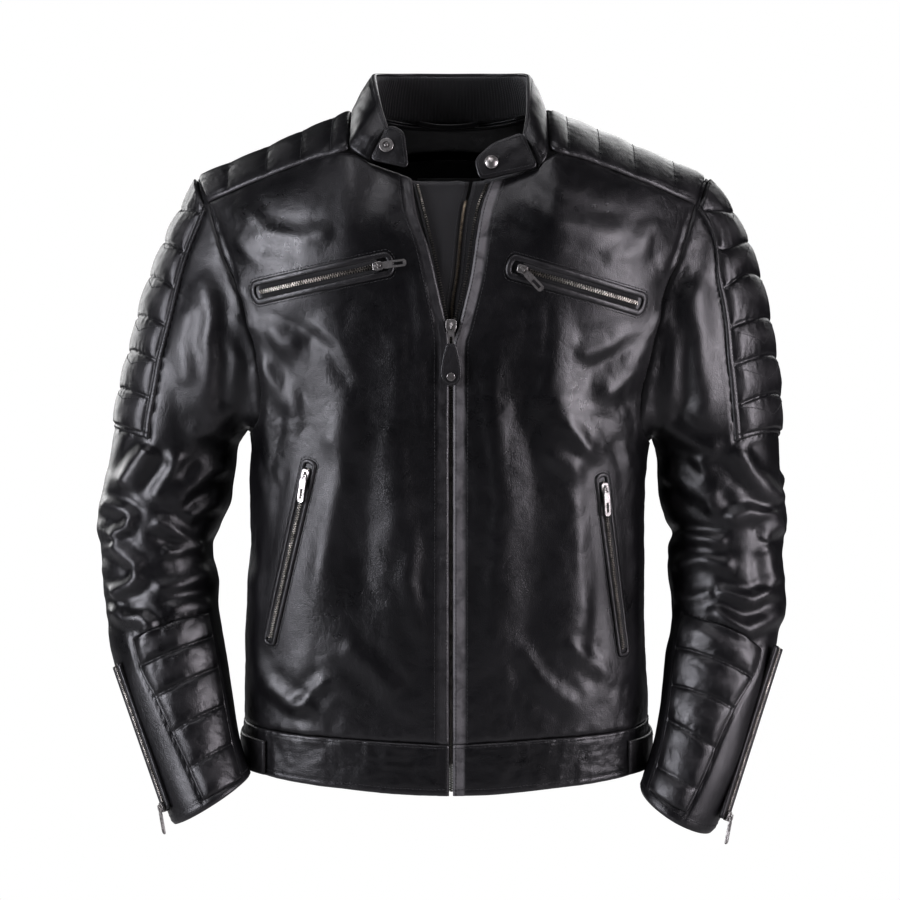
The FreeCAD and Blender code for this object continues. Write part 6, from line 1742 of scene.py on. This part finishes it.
# ================================================================ main pull, straps, loop, label
zd = np.array([0, 0.0185, -0.99983])
zd = unit(zd)
mn = unit(np.array([0, -0.99983, -0.0185]))
tab_o = np.array([1.9, -191.977, -198.075])
hw = [(0.0, 3.2), (3.0, 5.0), (12.0, 7.4), (24.0, 9.3), (31.0, 9.0), (36.0, 6.2), (38.4, 2.4)]
poly = [(a_, b_) for a_, b_ in hw] + [(a_, -b_) for a_, b_ in reversed(hw)]
out2 = rounded(poly, 3.0)
V, F = plate(out2, 0.9, 3.3, tab_o, zd, np.cross(mn, zd), mn, r=0.9, dome=0.25, inner=7)
o = mesh("main_pull_leather", V, F, M_TRIM, rides="main_pull_tab", attrs={"wear": np.full(len(V), 0.1)})
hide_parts("main_pull_tab")
d = np.roll(out2, -1, 0) - np.roll(out2, 1, 0)
inn = unit(np.stack([-d[:, 1], d[:, 0]], -1))
if (dot(inn, out2.mean(0) - out2) < 0).mean() > 0.5:
    inn = -inn
q2 = out2 + inn * 1.9
path = tab_o + q2[:, :1] * zd + q2[:, 1:] * np.cross(mn, zd) + mn * 3.36
stitch("stitches_pull", np.concatenate([path, path[:1]]), np.repeat(mn[None], len(path) + 1, 0), 2.7, 0.08)

base_parts = []
for side, nm in ((1, "left"), (-1, "right")):
    for what, a0, a1, z0, z1, hi, lo in (("strap", 80.0, 138.0, -601.0, -573.0, 3.9, 1.2), ("base", 54.0, 79.2, -603.0, -571.0, 3.7, 0.9)):
        nu, nv = (90, 26) if what == "strap" else (50, 26)
        a = np.radians(np.linspace(a0, a1, nu))[:, None] * side
        k = smooth((np.linspace(0, 1, nu)[:, None] - 0.9) / 0.1) * 6.0 if what == "strap" else 0.0
        z = lerp(z0 + k, z1 - k, np.linspace(0, 1, nv)[None])
        A = a + 0 * z
        P, N = body(A, z), body_n(A, z)
        cu, cr, cv, ct = edge_dist(P)
        h = hi + tuck(cu, 1.6, 1.1) + tuck(cr, 1.6, 1.1) + tuck(cv, 1.6, 1.1) + tuck(ct, 1.6, 1.1) + 0.25 * noise(P / 9.0, 105)
        h += groove(np.minimum(np.minimum(cv, ct), cr), 3.0, 0.8, 0.3)
        O = P + N * h[..., None]
        I = P + N * lo
        NO = grid_normals(O, N)
        if what == "strap":
            o = thick_sheet("hem_strap_%s_leather" % nm, O, I, N, M_TRIM, rides="hem_strap_" + nm, attrs={"wear": 0.25 + 0.3 * np.exp(-np.minimum(cv, ct) / 2)})
            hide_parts("hem_strap_" + nm)
            gg = "stitches_strap_" + nm
        else:
            V = np.concatenate([O.reshape(-1, 3), I.reshape(-1, 3)])
            F = shell_faces(nu, nv)
            c_ = np.cross(O[nu // 2 + 1, 10] - O[nu // 2, 10], O[nu // 2, 11] - O[nu // 2, 10])
            base_parts.append((V, [F if dot(c_, N[nu // 2, 10]) > 0 else F[:, ::-1]]))
            gg = "stitches_hem"
        stitch(gg, *row(O, NO, cv, 3.0, 1), pitch=3.2)
        stitch(gg, *row(O, NO, ct, 3.0, 1), pitch=3.2)
V, F = merge(base_parts)
o = mesh("hem_strap_base_leather", V, F, M_TRIM, attrs={"wear": np.full(len(V), 0.25)})
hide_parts("hem_strap_bases")

loop_pts = np.array([(-28, 6.6, 3.6), (-23.5, 4.0, 2.6), (-17, 1.4, 1.2), (-9, -0.5, 0.3), (0, -1.0, 0.0), (9, -0.5, 0.3), (17, 1.4, 1.2), (23.5, 4.0, 2.6), (28, 6.6, 3.6)], float)
lp = spline_line(loop_pts)(np.linspace(0, 1, 60))
tt = unit(np.gradient(lp, axis=0))
n = unit(np.cross(tt, np.array([0, 0, 1.0])))
n = np.where(n[:, 1:2] > 0, -n, n)
V, F = sweep(lp, n, oval(3.0, -0.85, 0.95, 16, 4))
o = mesh("hanger_loop_band", V, F, M_TRIM, attrs={"wear": np.full(len(V), 0.1)})
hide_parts("hanger_loop")
for e in (-1.9, 1.9):
    stitch("stitches_loop", lp + np.array([0, 0, e]) + n * 0.9, n, 2.8, 0.05)

nu, nv = 60, 34
x = np.linspace(-32, 32, nu)[:, None]
z = np.linspace(-78, -44, nv)[None]
a = psi(abs(x), z + 0 * x, False)
a = np.where(x >= 0, a, 2 * math.pi - a)
Z = z + 0 * x
P, N = body(a, Z), body_n(a, Z)
cu, cr, cv, ct = edge_dist(P)
e = np.minimum(np.minimum(cu, cr), np.minimum(cv, ct))
O = P - N * (LINER_IN + LINER_T + 0.3)
I = O - N * (0.65 - 0.3 * np.exp(-e / 0.8) + 0.25 * noise(P / 8.0, 106))[..., None]
o = thick_sheet("neck_label_patch", O, I, N, M_LABEL)
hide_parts("neck_label")

# between leather and lining: pocket bags and armour
parts = []
for side in (1, -1):
    for x0, x1, z0, z1 in ((60, 172, -250, -168), (60, 150, -500, -330)):
        X, Z = np.meshgrid(np.linspace(x0, x1, 36), np.linspace(z0, z1, 40), indexing="ij")
        A = psi(side * X, Z)
        P, N = body(A, Z), body_n(A, Z)
        d = np.minimum.reduce(edge_dist(P))
        O = P + N * (-5.4 + 0.9 * smooth(d / 10) * (1 + 0.3 * noise(P / 15.0, 107)))[..., None]
        I = P + N * (-5.8 - 0.9 * smooth(d / 10))[..., None]
        F = shell_faces(36, 40)
        c_ = np.cross(O[11, 10] - O[10, 10], O[10, 11] - O[10, 10])
        parts.append((np.concatenate([O.reshape(-1, 3), I.reshape(-1, 3)]), [F if dot(c_, N[10, 10]) > 0 else F[:, ::-1]]))
V, F = merge(parts)
o = mesh("pocket_bags_cloth", V, F, M_LINING)
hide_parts("pocket_bags")
parts = []
for side in (1, -1):
    PH, S = np.meshgrid(np.linspace(232, 318, 40), np.linspace(8.3, 12.8, 50), indexing="ij")
    P, N = sleeve(side, PH, S), sleeve_n(side, PH, S)
    d = np.minimum.reduce(edge_dist(P))
    O = P + N * (-9.0 + 5.2 * np.sqrt(1 - (1 - np.clip(d / 14, 0, 1)) ** 2))[..., None]
    F = shell_faces(40, 50)
    c_ = np.cross(O[21, 20] - O[20, 20], O[20, 21] - O[20, 20])
    parts.append((np.concatenate([O.reshape(-1, 3), (P - N * 9.2).reshape(-1, 3)]), [F if dot(c_, N[20, 20]) > 0 else F[:, ::-1]]))
    P, N, X = yoke_grid(side, 18.0, 40, 50, 130.0)
    d = np.minimum.reduce(edge_dist(P))
    O = P + N * (-9.2 + 4.8 * np.sqrt(1 - (1 - np.clip(d / 12, 0, 1)) ** 2))[..., None]
    c_ = np.cross(O[21, 20] - O[20, 20], O[20, 21] - O[20, 20])
    parts.append((np.concatenate([O.reshape(-1, 3), (P - N * 9.4).reshape(-1, 3)]), [F if dot(c_, N[20, 20]) > 0 else F[:, ::-1]]))
V, F = merge(parts)
o = mesh("armour_pads_foam", V, F, M_FOAM)
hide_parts("armour_pads")

# ================================================================ threads, one piece per group
RIDES = {"stitches_tab_right": "collar_tab_right", "stitches_tab_left": "collar_tab_left", "stitches_pull": "main_pull_tab",
         "stitches_strap_left": "hem_strap_left", "stitches_strap_right": "hem_strap_right"}
for g, (Vs, Qs, Ts, _) in THREADS.items():
    mesh(g, np.concatenate(Vs), [np.concatenate(Qs), np.concatenate(Ts)], M_THREAD, rides=RIDES.get(g, "shell"))

# metal parts keep their own shape
for n_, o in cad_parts.items():
    if o.hide_render:
        continue
    o.data.materials.clear()
    if "snap" in n_ or "rivet" in n_:
        o.data.materials.append(M_SNAP)
    else:
        o.data.materials.append(M_ZIP)
    print("shown part", n_)

# ================================================================ floor, light, camera
def quad(name, c, sx, sy, mat):
    V = np.array([(-sx, -sy, 0), (sx, -sy, 0), (sx, sy, 0), (-sx, sy, 0)], float) + np.array(c)
    me = bpy.data.meshes.new(name)
    me.from_pydata([tuple(v_) for v_ in V], [], [(0, 1, 2, 3)])
    o = bpy.data.objects.new(name, me)
    bpy.context.scene.collection.objects.link(o)
    me.materials.append(mat)
    return o


m, nt, bs = material("floor_pale")
bs.inputs["Base Color"].default_value = (0.4, 0.4, 0.4, 1)
bs.inputs["Roughness"].default_value = 0.9
bs.inputs["Specular IOR Level"].default_value = 0.0
em = nt.nodes.new("ShaderNodeEmission")
em.inputs[0].default_value = (1, 1, 1, 1)
em.inputs[1].default_value = 1.0
lpn = nt.nodes.new("ShaderNodeLightPath")
mxs = nt.nodes.new("ShaderNodeMixShader")
nt.links.new(lpn.outputs["Is Camera Ray"], mxs.inputs[0])
nt.links.new(bs.outputs[0], mxs.inputs[1])
nt.links.new(em.outputs[0], mxs.inputs[2])
nt.links.new(mxs.outputs[0], [n_ for n_ in nt.nodes if n_.bl_idname == "ShaderNodeOutputMaterial"][0].inputs[0])
quad("floor", (0, 0.6, -1.02), 5.0, 5.0, m)


def lamp(name, loc, target, size, size_y, power, col):
    l = bpy.data.lights.new(name, "AREA")
    l.shape = "RECTANGLE"
    l.size, l.size_y = size, size_y
    l.energy = power
    l.color = col
    o = bpy.data.objects.new(name, l)
    bpy.context.scene.collection.objects.link(o)
    o.location = loc
    o.rotation_mode = "QUATERNION"
    o.rotation_quaternion = (Vector(target) - Vector(loc)).to_track_quat("-Z", "Y")
    return o


lamp("soft_left", (-1.85, -1.25, 0.15), (0, -0.06, -0.3), 0.75, 1.7, 70, (0.93, 0.925, 1.0))
lamp("soft_right", (1.85, -1.15, 0.10), (0, -0.06, -0.3), 0.75, 1.7, 62, (0.985, 0.93, 1.0))
lamp("soft_top", (-0.2, -0.9, 1.8), (0, -0.06, -0.2), 1.2, 0.8, 14, (0.97, 0.95, 1))
lamp("soft_back", (0.9, 1.9, 0.9), (0, -0.06, -0.3), 1.6, 1.6, 24, (1, 1, 1))
lamp("soft_back_left", (-1.5, 1.5, 0.3), (0, -0.06, -0.3), 0.9, 1.6, 22, (1, 1, 1))

w = bpy.data.worlds.new("studio")
bpy.context.scene.world = w
w.use_nodes = True
nt = w.node_tree
nt.nodes.clear()
out = nt.nodes.new("ShaderNodeOutputWorld")
bg1 = nt.nodes.new("ShaderNodeBackground")
bg2 = nt.nodes.new("ShaderNodeBackground")
bg1.inputs[0].default_value = (0.9, 0.93, 1.0, 1)
bg1.inputs[1].default_value = 0.03
bg2.inputs[0].default_value = (1, 1, 1, 1)
bg2.inputs[1].default_value = 1.0
lp_ = nt.nodes.new("ShaderNodeLightPath")
mx = nt.nodes.new("ShaderNodeMixShader")
nt.links.new(lp_.outputs["Is Camera Ray"], mx.inputs[0])
nt.links.new(bg1.outputs[0], mx.inputs[1])
nt.links.new(bg2.outputs[0], mx.inputs[2])
nt.links.new(mx.outputs[0], out.inputs[0])

cam = bpy.data.cameras.new("camera")
co = bpy.data.objects.new("camera", cam)
bpy.context.scene.collection.objects.link(co)
bpy.context.scene.camera = co
cam.sensor_width = 36.0
cam.lens = 113.68
cam.clip_start, cam.clip_end = 0.05, 50
tgt = Vector((0.001, -0.060, -0.306))
back_v = Vector((0, -math.cos(math.radians(5)), math.sin(math.radians(5))))
co.location = tgt + back_v * 2.7
co.rotation_mode = "QUATERNION"
co.rotation_quaternion = (-back_v).to_track_quat("-Z", "Y")

bpy.context.scene.view_settings.view_transform = "Standard"
bpy.context.scene.view_settings.look = "None"
bpy.context.scene.view_settings.exposure = 0.0
bpy.context.scene.view_settings.gamma = 0.84
